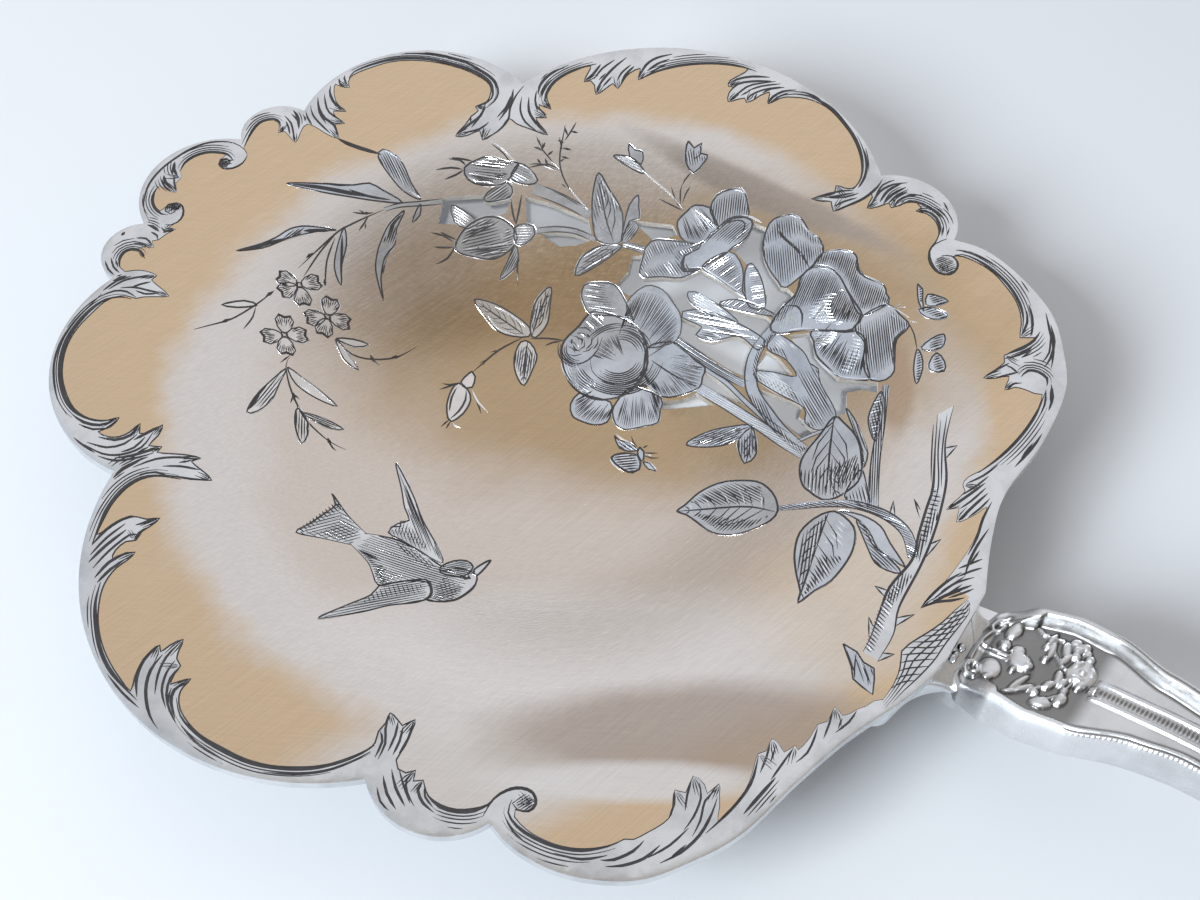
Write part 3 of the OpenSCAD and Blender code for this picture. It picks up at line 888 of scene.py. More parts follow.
    engraveAll(0.2, [
        [-230,292, -235,306, -236,320], [-200,382, -203,364, -201,346], [-196,360, -196,348],
        [-188,360, -187,342], [-182,386, -183,370, -180,358], [-152,410, -156,398, -159,386],
        [-46,452, -58,440, -66,428, -69,402], [-40,452, -54,438, -62,424],
        [-38,448, -50,434, -56,420, -55,411], [-60,426, -64,414], [-52,426, -50,416],
        [-34,450, -44,440, -48,430], [-26,446, -31,436, -33,426], [80,419, 93,402],
        [-16,455, -4,457, 6,456], [98,366, 90,360, 80,348, 71,336], [104,366, 96,354, 84,344],
        [106,360, 98,348, 94,338], [100,364, 90,352, 80,342], [-208,-242, -222,-252, -236,-266, -246,-284],
        [-212,-248, -218,-256], [-186,-252, -198,-262, -212,-270], [-200,-250, -214,-258, -226,-268],
        [-210,-272, -226,-276, -236,-286], [-212,-370, -213,-350, -210,-330],
        [-201,-378, -202,-358, -199,-336, -192,-332], [-202,-326, -196,-318, -191,-310],
        [-192,-322, -194,-330, -192,-338], [-220,-370, -208,-388, -192,-406, -174,-420],
        [-210,-380, -196,-399, -178,-414, -158,-428], [-120,-443, -98,-448, -78,-450],
        [-114,-446, -94,-452, -74,-454], [-92,-386, -92,-404, -86,-420, -76,-434],
        [-84,-402, -82,-414, -74,-428, -60,-438], [-77,-406, -76,-416, -68,-429, -54,-439],
        [-69,-422, -62,-434, -44,-443], [40,-434, 60,-422, 78,-406, 90,-388, 97,-372],
        [-40,-442, -16,-446, 10,-444], [89,-339, 94,-350, 102,-360, 106,-374],
        [98,-339, 104,-350, 108,-364], [104,-340, 110,-352, 113,-364], [108,-332, 114,-346, 116,-360],
        [92,-354, 99,-360, 103,-374],
    ])

    # small rear lobes and the lobes that run into the heel
    scrollAll(0.3, [
        [132,402, 126,386, 127,368], [138,400, 132,384, 131,368],
        [145,374, 150,386, 162,390, 176,389, 188,385], [164,379, 170,384, 182,382, 192,372, 196,360],
        [220,350, 226,355, 240,357, 260,354, 280,346, 298,333, 310,318, 316,304],
        [330,313, 330,300, 326,288, 318,274], [340,256, 342,266, 350,270, 360,268, 364,260],
        [366,252, 369,238, 371,220, 371,200, 369,180, 365,160, 359,140],
        [156,-375, 170,-377, 184,-372, 194,-364, 200,-354],
        [212,-340, 216,-350, 228,-355, 244,-355, 262,-351, 280,-342, 294,-328, 300,-318],
        [368,-206, 366,-226, 364,-246],
    ])
    engraveAll(0.24, [
        [136,406, 126,396, 120,380, 122,360, 121,355], [142,370, 141,380, 146,392, 156,400],
        [204,364, 198,352, 198,340, 206,329, 218,322, 228,326, 230,336, 226,344, 218,347, 210,342],
        [306,336, 316,324, 326,304], [308,328, 315,316, 318,298], [332,296, 330,284, 323,272, 318,266],
        [324,336, 336,320, 348,304, 356,286, 358,280], [334,326, 346,310, 352,290, 352,278],
        [366,264, 374,252, 378,236], [385,210, 385,190, 382,164], [369,134, 362,110, 356,92],
        [376,126, 372,106, 369,86], [383,120, 385,100, 390,80, 392,60], [394,94, 394,74, 396,56, 400,40],
        [396,42, 390,26, 386,6, 385,-7], [410,22, 402,13, 392,4, 385,-8], [409,36, 400,22, 392,9],
        [112,-394, 126,-402, 140,-406], [118,-382, 130,-392, 144,-398], [120,-374, 132,-384, 148,-392],
        [146,-368, 148,-376, 158,-382, 170,-383],
        [202,-364, 200,-348, 204,-336, 212,-328, 222,-326, 229,-332, 228,-340, 220,-344, 214,-342,
         216,-336],
        [314,-308, 312,-320, 304,-334, 296,-340], [326,-304, 322,-320, 312,-334, 302,-342],
        [340,-246, 344,-260, 346,-280, 342,-300, 334,-316],
        [347,-198, 351,-208, 355,-222, 355,-242, 352,-262, 349,-276],
    ])
    engraveAll(0.18, [
        [142,396, 136,382, 135,372], [407,44, 398,32, 391,16], [406,30, 398,17, 390,4],
        [408,56, 402,48, 395,36], [404,64, 398,54, 392,44], [412,34, 406,24, 399,14],
        [124,402, 118,390, 119,374], [178,404, 188,396], [193,376, 198,364], [199,378, 202,366],
        [168,382, 176,385], [218,356, 226,360, 244,362, 260,360], [312,330, 321,316, 325,302],
        [334,288, 330,276], [340,314, 348,296, 348,282], [322,260, 328,260, 336,258],
        [315,240, 319,252, 324,264], [322,242, 330,252, 336,260], [335,236, 339,246, 344,250],
        [365,256, 372,240, 374,226], [368,260, 376,244], [369,158, 364,140, 356,124], [383,196, 382,176],
        [368,142, 364,126, 358,110], [372,130, 368,110, 364,98], [380,122, 378,108, 374,94],
        [398,70, 398,52], [400,40, 394,22, 389,4], [402,32, 396,14, 390,0], [124,-370, 136,-379, 150,-388],
        [136,-366, 135,-374, 142,-382, 154,-388], [150,-370, 156,-377, 166,-380],
        [120,-392, 130,-400, 140,-402], [216,-354, 228,-360, 242,-362], [264,-356, 284,-348, 298,-334],
        [336,-280, 332,-300, 324,-318], [310,-261, 316,-270, 319,-282], [316,-246, 320,-258, 326,-270],
        [322,-244, 330,-254, 334,-270, 334,-284], [336,-240, 334,-254, 340,-270, 342,-284],
        [342,-292, 338,-310], [349,-184, 353,-196, 356,-210], [354,-184, 358,-198],
        [366,-176, 366,-192, 366,-210], [372,-150, 375,-160, 377,-174, 374,-186],
        [374,-130, 378,-142, 381,-156], [384,-132, 386,-142], [390,-120, 390,-132, 386,-146],
    ])
    disc = [(21.9 + math.cos(a) * 1.1, 33.4 + math.sin(a) * 1.1) for a in spread(0, 6, 12)]
    hatch(disc, 62, 0.22, width=0.09)
    disc = [(22.2 + math.cos(a) * 0.8, -33.6 + math.sin(a) * 0.8) for a in spread(0, 6, 12)]
    hatch(disc, 70, 0.22, width=0.09)

    # cross-cut ledge in front of the handle
    inner = smooth(rim["ledgeInner"], 0.25)
    outer = smooth(rim["ledgeOuter"], 0.25)
    ledge = []
    for share in spread(0, 1, 5):
        line = []
        for k in spread(0, 1, 16):
            a = inner[round(k * (len(inner) - 1))]
            b = outer[round(k * (len(outer) - 1))]
            line.append((a[0] + (b[0] - a[0]) * share, a[1] + (b[1] - a[1]) * share))
        ledge.append(line)
        cut(line, 0.12)
    for k in range(1, 13):
        cross = []
        for i, line in enumerate(ledge):
            along = min(14.9, max(0, k + 1.5 - 0.75 * i))
            a, b = line[int(along)], line[int(along) + 1]
            cross.append(tuple(a[j] + (b[j] - a[j]) * (along % 1) for j in (0, 1)))
        cut(cross, 0.11)


drawRim()
print("rim drawn:", len(board["cuts"]), "cuts")


# pierced windows between the flowers
windows(
    [-239,139, -208,170, -198,178, -186,184, -182,168, -192,152, -201,135, -218,123, -227,115, -233,129],
    [-176,193, -152,203, -126,209, -112,212, -97,199, -108,186, -122,175, -147,173, -154,174, -162,176],
    [-75,234, -36,250, -26,244, -46,229, -63,232],
    [-55,207, -47,212, -34,196, 3,215, 14,229, 64,221, 92,214, 106,210, 109,190, 111,170, 119,152, 93,154,
     59,160, 32,161, 20,184, -15,196, -37,174, -53,176, -50,194],
    [32,286, 48,287, 58,272, 71,257, 97,244, 112,239, 106,212, 90,216, 88,229, 71,243, 53,248, 30,256,
     36,272],
    [130,202, 150,212, 162,196, 199,176, 234,184, 240,174, 225,172, 214,165, 219,156, 226,146, 217,140,
     183,169, 163,183],
    [117,164, 119,182, 134,179, 156,168, 124,163],
    [132,146, 183,142, 186,130, 214,122, 206,109, 186,116, 164,126, 146,136],
    [75,146, 102,142, 122,135, 140,125, 105,129, 78,131], [55,99, 72,110, 80,122, 103,117, 62,92],
)


# roses, petal by petal, back ones first
def drawRoses():
    # bright cuts in the roses are painted highlights along petal edges and across the lit parts of petals
    board.update(hatchDensity=1.3, fanReach=1.35, hatchBreadth=1.1)
    # half-open rose
    leaf(at(-12.5,280, -14,294, -6,305, 4,310.5, 10,308, 19,299, 26,289, 14,282, 6,267.5, -5,274),
        line=0.18, hatches=[(-62, 0.3, 0.12, 0.97)])
    engrave(at(-6,306, 4,310, 10,308), 0.3, "bright")
    leaf(at(-34,255, -31,267.5, -27.5,276, -12.5,280.5, -5,275, 6,267.5, 2.5,260, 0,247.5, -17.5,242.5,
        -27.5,247.5), line=0.2)
    fan(at(6,267, 3,260, 0,249, -12,244), (-8, 29.5), 18, 0.1, 0.26)
    fan(at(6,267, 3,260, 1,252), (-3.4, 27.4), 9, 0.3, 0.7, tone="bright")
    leaf(at(-47.5,217.5, -46,227.5, -34,235, 0,246, -9,230, -4,220, 12.5,227.5, 0,212.5, -17.5,205, -34,196,
        -40,197.5, -46,215), line=0.18, hatches=[(-30, 0.3, 0.02, 0.42), (158, 0.3, 0.02, 0.46, 0.12)])
    leaf(at(-9,230, -7.5,240, 2.5,252.5, 6,267.5, 10,279, 19,286, 31,287.5, 36,280, 36,267.5, 30,257.5,
        27.5,251, 20,240, 12.5,227.5, 0,219), line=0.24, hatches=[(70, 0.3, 0.52, 0.98)])
    engrave(at(5,264, 10,274, 19,282, 27,282, 30,272, 26,263), 0.14)
    engrave(at(19,287.5, 30,290, 42,289), 0.2, "bright")
    engrave(at(-4,226, 3,222, 12,228), 0.12)
    leaf(at(12.5,230, 29,252.5, 50,244, 62.5,225, 69,221, 35,226), line=0.14,
        hatches=[(62, 0.3, 0.05, 0.9)])
    engrave(at(14,229, 36,226, 68,221), 0.26, "bright")
    leaf(at(54,242.5, 55,251, 70,244, 85,230, 92.5,217.5, 79,214, 67.5,222.5), line=0.16,
        hatches=[(30, 0.3, 0.3, 0.95)])
    leaf(at(49,206, 62.5,216, 92.5,217.5, 106,215, 90,211), line=0.14, hatches=[(60, 0.3, 0.1, 0.9)])
    band(at(-46,217, -58,215, -69,211), 0.6, 0.5, fill=(15, 0.22, 0, 1))

    # buds and leaves that cross the window
    leaf(at(14,204, 20,207, 50,205, 76,198, 60,195, 40,194, 20,197.5), line=0.12,
        hatches=[(-4, 0.2, 0.1, 0.8, 0.16, "bright")])
    leaf(at(22.5,181, 20,186, 40,196, 75,197, 110,191, 110,180, 85,186, 62.5,172.5, 45,172.5, 46,181),
        line=0.14, hatches=[(12, 0.26, 0.05, 0.9), (0, 0.5, 0.5, 0.95, 0.14, "bright")])

    # leaf under the large rose, cut through by the window
    leaf(at(117.5,200, 150,192.5, 165,182.5, 175,180, 185,167.5, 217.5,141, 212.5,122.5, 195,126, 185,140,
        150,147.5, 125,154, 120,161, 137.5,165, 160,167.5, 140,180, 117.5,184), line=0.12,
        hatches=[(-36, 0.28, 0.35, 0.97)])
    hatch(at(120,186, 120,199, 150,191, 140,183), -20, 0.24, 0, 0.6, 0.2, "bright")
    hatch(at(121,160, 137,165, 175,152, 180,142, 150,148, 126,154), -12, 0.22, 0, 0.9, 0.22, "bright")

    # stems
    band(at(113,204, 109,185, 111,170, 119,154, 132,140, 155,126, 180,112, 213,98), 1.15, 0.9, 0.14,
        (-40, 0.24, 0.5, 0.98))
    band(at(29,160, 60,155, 90,149, 119,146), 0.8, 0.7, 0.12, (-8, 0.2, 0, 1))
    band(at(72.5,147, 100,141.5, 125,132, 162.5,117.5, 187.5,110), 0.4, 0.4, 0.12)
    band(at(78,127, 110,122.5, 155,112, 190,101, 214,94), 0.95, 0.9, 0.12, (-8, 0.2, 0, 1, 0.09, "bright"))
    band(at(214,122, 206,114, 199,106), 0.35, 0.35, 0.1)

    # full rose
    leaf(at(-80,160, -72.5,167.5, -55,176, -34,167.5, -17.5,156, -32.5,154, -57.5,141, -67.5,144, -76,150),
        line=0.16, hatches=[(24, 0.28, 0.08, 0.66), (24, 0.55, 0.05, 0.5, 0.14, "bright")])
    leaf(at(-34,167.5, -27.5,190, -10,195, 5,190, 22.5,180, 31,160, 10,141, 0,147.5, -17.5,156), line=0.12)
    fan(at(-32,169, -27,186, -10,192, 5,188, 21,179, 29,162), (-0.6, 8.6), 28, 0.16, 0.29, gap=0.03)
    leaf(at(10,141, 26,156, 40,156, 60,150, 72.5,147.5, 76,137.5, 79,127.5, 65,111, 52.5,104, 32.5,107.5,
        22.5,100, 22.5,115), line=0.2)
    fan(at(72,147, 76,137, 78,128), (-6, 12.2), 12, 0.08, 0.2, 0.11, gap=0.01)
    fan(at(50,152, 64,149, 72,147), (-4, 11), 7, 0.06, 0.18, 0.11, gap=0.01)
    fan(at(77,126, 65,112, 53,105, 34,108), (-3, 15.5), 17, 0.08, 0.2, gap=0.01)
    engrave(at(20,132, 44,129, 77,127), 0.16)
    engrave(at(30,108, 42,105, 52,104), 0.3, "bright")
    leaf(at(20.5,69, 19,90, 26,100, 53,102, 60,90, 66,77, 58,67, 53,60.5, 45,52.5, 34,52.5, 23,63),
        line=0.18)
    fan(at(54,100, 60,90, 65,77, 56,66, 45,54, 34,54), (0.2, 13.5), 24, 0.14, 0.34, gap=0.02)
    leaf(at(-16,62, -15,47, -6.5,37.5, 1.5,36, 18,40, 26,50, 22,62, 15,71, -6.5,65), line=0.18)
    fan(at(-14,52, -6,40, 2,38, 17,42, 24,51), (0.9, 12), 17, 0.12, 0.26, gap=0.02)
    leaf(at(-60,140, -52.5,147.5, -25,154, -5,151, 10,140, 22.5,120, 24,100, 17.5,80, 0,65, -25,65,
        -45,77.5, -59,92.5, -64,105, -61,125), line=0.24)
    arcs((-0.9, 11.9), spread(1.9, 4.4, 12), -100, 14, 0.12)
    arcs((-0.9, 11.9), spread(1.9, 3.3, 7), 46, 132, 0.11)
    arcs((-1.4, 11.2), spread(2.9, 4.6, 8), -132, -84, 0.11)
    arcs((-1.6, 11.4), spread(3.4, 4.8, 6), -140, -84, 0.12, "bright")
    arcs((-1.2, 11.8), spread(3, 3.4, 3), 118, 178, 0.12)
    engrave(at(-36,132, -24,143, -8,146, 8,139, 18,124, 20,108, 12,94, -4,88, -22,92, -32,104), 0.16)
    fan(at(-33,106, -35,116, -34,128, -26,138), (0.4, 11.6), 12, 0.2, 0.5, 0.12)
    # crumpled heart
    engraveAll(0.13, [
        [-61,122, -54,127, -46,126], [-59,117, -52,121, -45,119], [-62,112, -56,115, -52,112],
        [-61,106, -55,108, -50,106], [-48,116, -44,110, -46,104], [-58,101, -52,102, -47,99],
        [-44,123, -40,116, -41,108], [-52,94, -46,96, -41,102], [-42,104, -38,109, -37,116],
        [-39,126, -35,120, -35,112],
    ])
    engraveAll(0.24, [
        [-56,114, -50,115, -47,110], [-54,105, -49,102, -44,104], [-59,110, -56,105], [-50,122, -45,121],
    ])
    engraveAll(0.14, [[-55,119, -50,119], [-51,108, -48,107], [-42,118, -41,112]], "bright")
    engrave(at(-59,93, -49,87, -38,90, -32,100, -31,114, -35,128), 0.13)
    arcs((-4.6, 10.6), spread(1.4, 2.2, 5), 200, 300, 0.12)
    hatch(at(-59,139, -46,145, -36,134, -46,127, -58,127), -10, 0.22, 0, 0.9, 0.12)

    # large rose
    leaf(at(50,297.5, 62.5,309, 75,309, 90,300, 100,299, 112.5,287.5, 110,267.5, 100,242.5, 90,245,
        72.5,254, 57.5,267.5, 50,285), line=0.16, hatches=[(-52, 0.28, 0.4, 0.97), (-52, 0.3, 0.04, 0.36)])
    engrave(at(53,298, 65,287, 87,280, 102,273, 110,267), 0.26)
    engrave(at(54,302, 63,309.5, 74,309), 0.22, "bright")
    engrave(at(76,306, 86,301, 100,299), 0.2, "bright")
    leaf(at(112.5,286, 125,296, 137.5,299, 145,295, 152.5,285, 162.5,280, 182.5,280, 190,272.5, 197.5,264,
        182.5,242, 160,257, 140,271, 125,275, 112.5,270), line=0.18, hatches=[(-74, 0.27, 0.08, 0.86, 0.1)])
    engrave(at(113,287, 125,296, 138,299), 0.24, "bright")
    engrave(at(162,281, 172,281, 183,280), 0.2, "bright")
    engrave(at(145,294, 152,285, 162,280), 0.34)
    leaf(at(197.5,262.5, 212.5,257.5, 227.5,250, 225,230, 235,210, 241,200, 239,189, 227.5,184, 212.5,195,
        200,217.5, 185,226, 184,243), line=0.16, hatches=[(-54, 0.27, 0.1, 0.9, 0.1)])
    engrave(at(226,246, 224,232, 230,218, 239,204), 0.34)
    leaf(at(112.5,270, 125,275, 140,271, 160,257.5, 182.5,242.5, 182.5,230, 177.5,222.5, 140,211, 125,202.5,
        115,200, 107.5,205, 107.5,222.5, 112.5,240, 107.5,257.5), line=0.22,
        hatches=[(-80, 0.27, 0.06, 0.66, 0.1)])
    hatch(at(134,244, 154,262, 178,244, 176,230, 148,220, 132,226), 28, 0.34, 0, 0.55, 0.26, "bright")
    fan(at(142,222, 156,226, 174,230), (14.8, 32), 12, 0.06, 0.17, 0.11, gap=0.01)
    engrave(at(109,226, 120,230, 130,224, 136,213), 0.18)
    hatch(at(109,206, 109,222, 124,226, 132,214, 122,204), -66, 0.24, 0, 0.9, 0.1, "bright")
    engrave(at(126,206, 140,212, 154,215), 0.24, "bright")
    engrave(at(113,270, 126,274, 140,270), 0.2, "bright")
    leaf(at(147.5,212.5, 177.5,221, 187.5,225, 200,220, 212.5,200, 225,185, 217.5,181, 199,177.5, 180,185,
        165,192.5, 155,204), line=0.18)
    hatch(at(150,212, 174,220, 174,208, 162,198), 18, 0.24, 0, 0.95, 0.24, "bright")
    hatch(at(184,222, 198,218, 208,200, 206,184, 194,184, 192,206), 4, 0.36, 0, 0.9, 0.2, "bright")
    fan(at(156,202, 168,192, 184,185, 200,179, 216,183), (17.4, 29), 22, 0.08, 0.22, 0.11, gap=0.02)
    engrave(at(164,190, 182,182, 199,178, 218,182, 230,187), 0.24, "bright")
    engrave(at(148,213, 177,222, 186,227), 0.2)
    board.update(hatchDensity=1.05, fanReach=1, hatchBreadth=1.2)


drawRoses()


# leaves, thorny branch and small life of the right-hand spray
def drawBranch():
    # the bright strokes in this branch are painted highlights
    leaf(at(216.5,139, 215,117, 213,95, 218,79, 230,64, 240,59, 255,54, 265,59, 271,70, 274,82.5, 270,95,
        262,110, 246,126, 227.5,136), at(216.5,139, 243,86, 268,59), 6, 30, 0.2,
        hatches=[(-62, 0.34, 0.5, 0.98)])
    hatch(at(242,84, 258,110, 272,84, 266,64), -76, 0.22, 0, 0.8, 0.1)
    band(at(242,184, 260,145, 275,110, 290,80, 301,60), 0.5, 0.9, 0.14, (-62, 0.2, 0, 1))
    leaf(at(241.5,176, 248,170, 260,145, 265,126, 249,142, 243,157.5),
        hatches=[(-50, 0.28, 0.1, 0.9), (40, 0.34, 0.1, 0.9)])
    leaf(at(222,150, 234,143, 250,129, 266,112, 270,96, 256,116, 240,132),
        hatches=[(-45, 0.24, 0.05, 0.95)])
    leaf(at(269,94, 282,82, 296,62, 282,60, 271,64), hatches=[(-50, 0.3, 0.4, 0.95)])

    leftEdge = at(299,175, 315,142, 334,104, 340,82.5, 348,54, 356,29, 354,-5, 359,-30, 365,-55, 367,-71)
    rightEdge = at(306,192, 320,151, 340,117, 352.5,82.5, 360,54, 365,26, 370,-17.5, 379,-42.5, 381,-71)
    plate(smooth(leftEdge) + smooth(rightEdge)[::-1])
    engrave(leftEdge, 0.24)
    engrave(rightEdge, 0.22)
    engraveAll(0.13, [
        [304,172, 319,140, 338,106, 346,76], [306,180, 321,144, 340,108], [301,164, 316,134, 330,108],
    ])
    hatch(at(336,102, 346,100, 359,50, 349,50), 20, 0.5, 0, 0.9, 0.12)
    hatch(at(342,90, 352,82, 362,30, 355,30), -70, 0.26, 0, 1, 0.12)
    hatch(at(355,0, 363,0, 376,-68, 366,-68, 357,-30), -14, 0.34, 0, 0.85, 0.11)
    hatch(at(355,16, 364,16, 366,-20, 356,-20), -72, 0.24, 0, 1, 0.11)
    stump = at(350,-74, 363,-74, 372,-79, 382,-79, 387,-87, 393,-100, 383,-99, 373,-97, 366,-88, 358,-81)
    hatch(plate(stump, "flower"), -42, 0.5, 0.1, 0.8, 0.08)
    cut(stump + stump[:1], 0.14)
    engraveAll(0.13, [[363,-75, 369,-88, 374,-96], [374,-83, 382,-89, 386,-95]])
    for tip, left, right in (
            ((31.2, 7.5), (31.7, 5.9), (32.2, 6)), ((32.6, 8.5), (33.7, 7.7), (34, 7)),
            ((36.6, 6.1), (36, 5), (36.4, 3.6)), ((34.3, -1.1), (35.5, -0.9), (35.6, -1.6)),
            ((35.4, -4), (36.2, -4.6), (36.5, -5.8)), ((38.4, -1.6), (37.3, -2.8), (37.6, -3.6)),
            ((38.9, -5.8), (38, -6.3), (38.1, -7.2)), ((33, 15.5), (32.2, 14.6), (32.8, 13.4))):
        plate([tip, left, right])
        cut([tip, left], 0.14)
        cut([tip, right], 0.14)

    band(at(356,31, 340,49, 321,57, 300,59, 280,57, 259,50, 240,41, 224,34), 0.95, 0.6, 0.16,
        (0, 0.22, 0, 0.9))
    engrave(at(296,60.5, 276,59, 256,52, 234,41), 0.2, "bright")
    leaf(at(355,19, 340,21, 324,23, 310,34, 297,44, 276,47, 296,50, 316,46, 332,34), line=0.16)
    leaf(at(355,12, 343,8, 331,10, 320,19, 306,32, 294,44, 310,37, 326,24, 340,20),
        hatches=[(-20, 0.26, 0.05, 0.95)])

    rib = at(223,29.5, 199,28, 175,19, 139.5,0)
    shape = leaf(at(139.5,0, 142,9, 146,28, 156,43, 169,51, 188,56, 202,52.5, 215,44, 225,31, 225,19, 215,4,
        202,-7, 183,-10, 164,-4, 150,0), rib, 7, 58, 0.2)
    hatch(at(144,14, 150,32, 166,48, 196,52, 214,36, 198,29, 174,20), -12, 0.26, 0, 0.9, 0.09)
    hatch(at(152,4, 174,16, 200,25, 222,26, 212,5, 190,-8), 80, 0.3, 0.02, 0.62, 0.11)
    veins(shape, rib, 5, 0.8, 66, 0.13, (-1,), "bright")
    leaf(at(268,43.5, 277.5,45, 296,36, 306,20, 310,1, 309,-24, 302.5,-39, 297,-57, 293,-46, 277.5,-27,
        265,-8, 257,14, 260,32.5), at(268,43.5, 277.5,7.5, 297,-57), 7, 40, 0.2)
    hatch(at(268,42, 259,14, 278,-26, 296,-54, 282,-10), -66, 0.28, 0, 1, 0.11)
    hatch(at(283,0, 306,4, 306,-24, 297,-50), -36, 0.3, 0.1, 0.95, 0.13)
    hatch(at(276,40, 294,32, 304,12, 282,10), -26, 0.42, 0.1, 0.9, 0.16, "bright")
    leaf(at(104,69, 106,79, 118,94, 139,107, 150,110, 146,98, 139,85, 123,75), at(150,110, 132,94, 105,70),
        4, 34, 0.16, [(48, 0.26, 0.1, 0.9)])
    leaf(at(150,108, 161,98, 170,85, 170,75, 166,71, 153,82, 146,93), at(150,108, 160,90, 167,72), 3, 36,
        0.16, [(-58, 0.26, 0.1, 0.9)])

    # bee
    leaf(at(53,19, 57,27, 64,32, 72,35, 77,32, 82,23, 79,16, 71,14, 60,15), line=0.24,
        hatches=[(42, 0.3, 0.05, 0.95, 0.13)])
    leaf(at(41,41, 47,39, 57,42, 69,40, 64,35, 53,32), line=0.16, hatches=[(-4, 0.3, 0.1, 0.95, 0.12)])
    leaf(at(68,44, 74,42, 79,34, 78,30, 73,34, 69,39), line=0.2)
    leaf(at(80,32, 86,34, 96,30, 89,28), line=0.14)
    engraveAll(0.15, [[54,50, 60,45, 66,43], [75,41, 80,44, 86,48], [77,38, 84,40, 90,44], [71,45, 73,50]])
    engraveAll(0.16, [
        [40,43, 50,42, 62,43], [82,35, 89,34, 97,31], [52,17, 60,13, 72,12], [77,40, 83,42],
    ], "bright")

    # butterflies
    for wing in (
            [209,298, 216,295, 222,284, 230,272, 220,280], [223,292, 232,296, 243,296, 236,284, 228,280],
            [235,281, 251,281, 247,272, 236,267, 225,271],
            [259,259, 265,248, 262,238, 252,232, 249,234, 252,248],
            [264,236, 275,231, 280,221, 270,215, 264,222], [247,230, 254,226, 262,214, 266,196, 255,210]):
        leaf(at(*wing), line=0.16, hatches=[(55, 0.28, 0.3, 0.95)])
    engraveAll(0.12, [
        [193,262, 206,261, 224,258], [205,261, 209,273], [207,262, 216,269], [202,255, 213,252],
        [223,255, 232,257], [234,280, 243,282, 252,280],
    ], "bright")
    engrave(at(225,253, 236,244, 247,230), 0.12)


drawBranch()


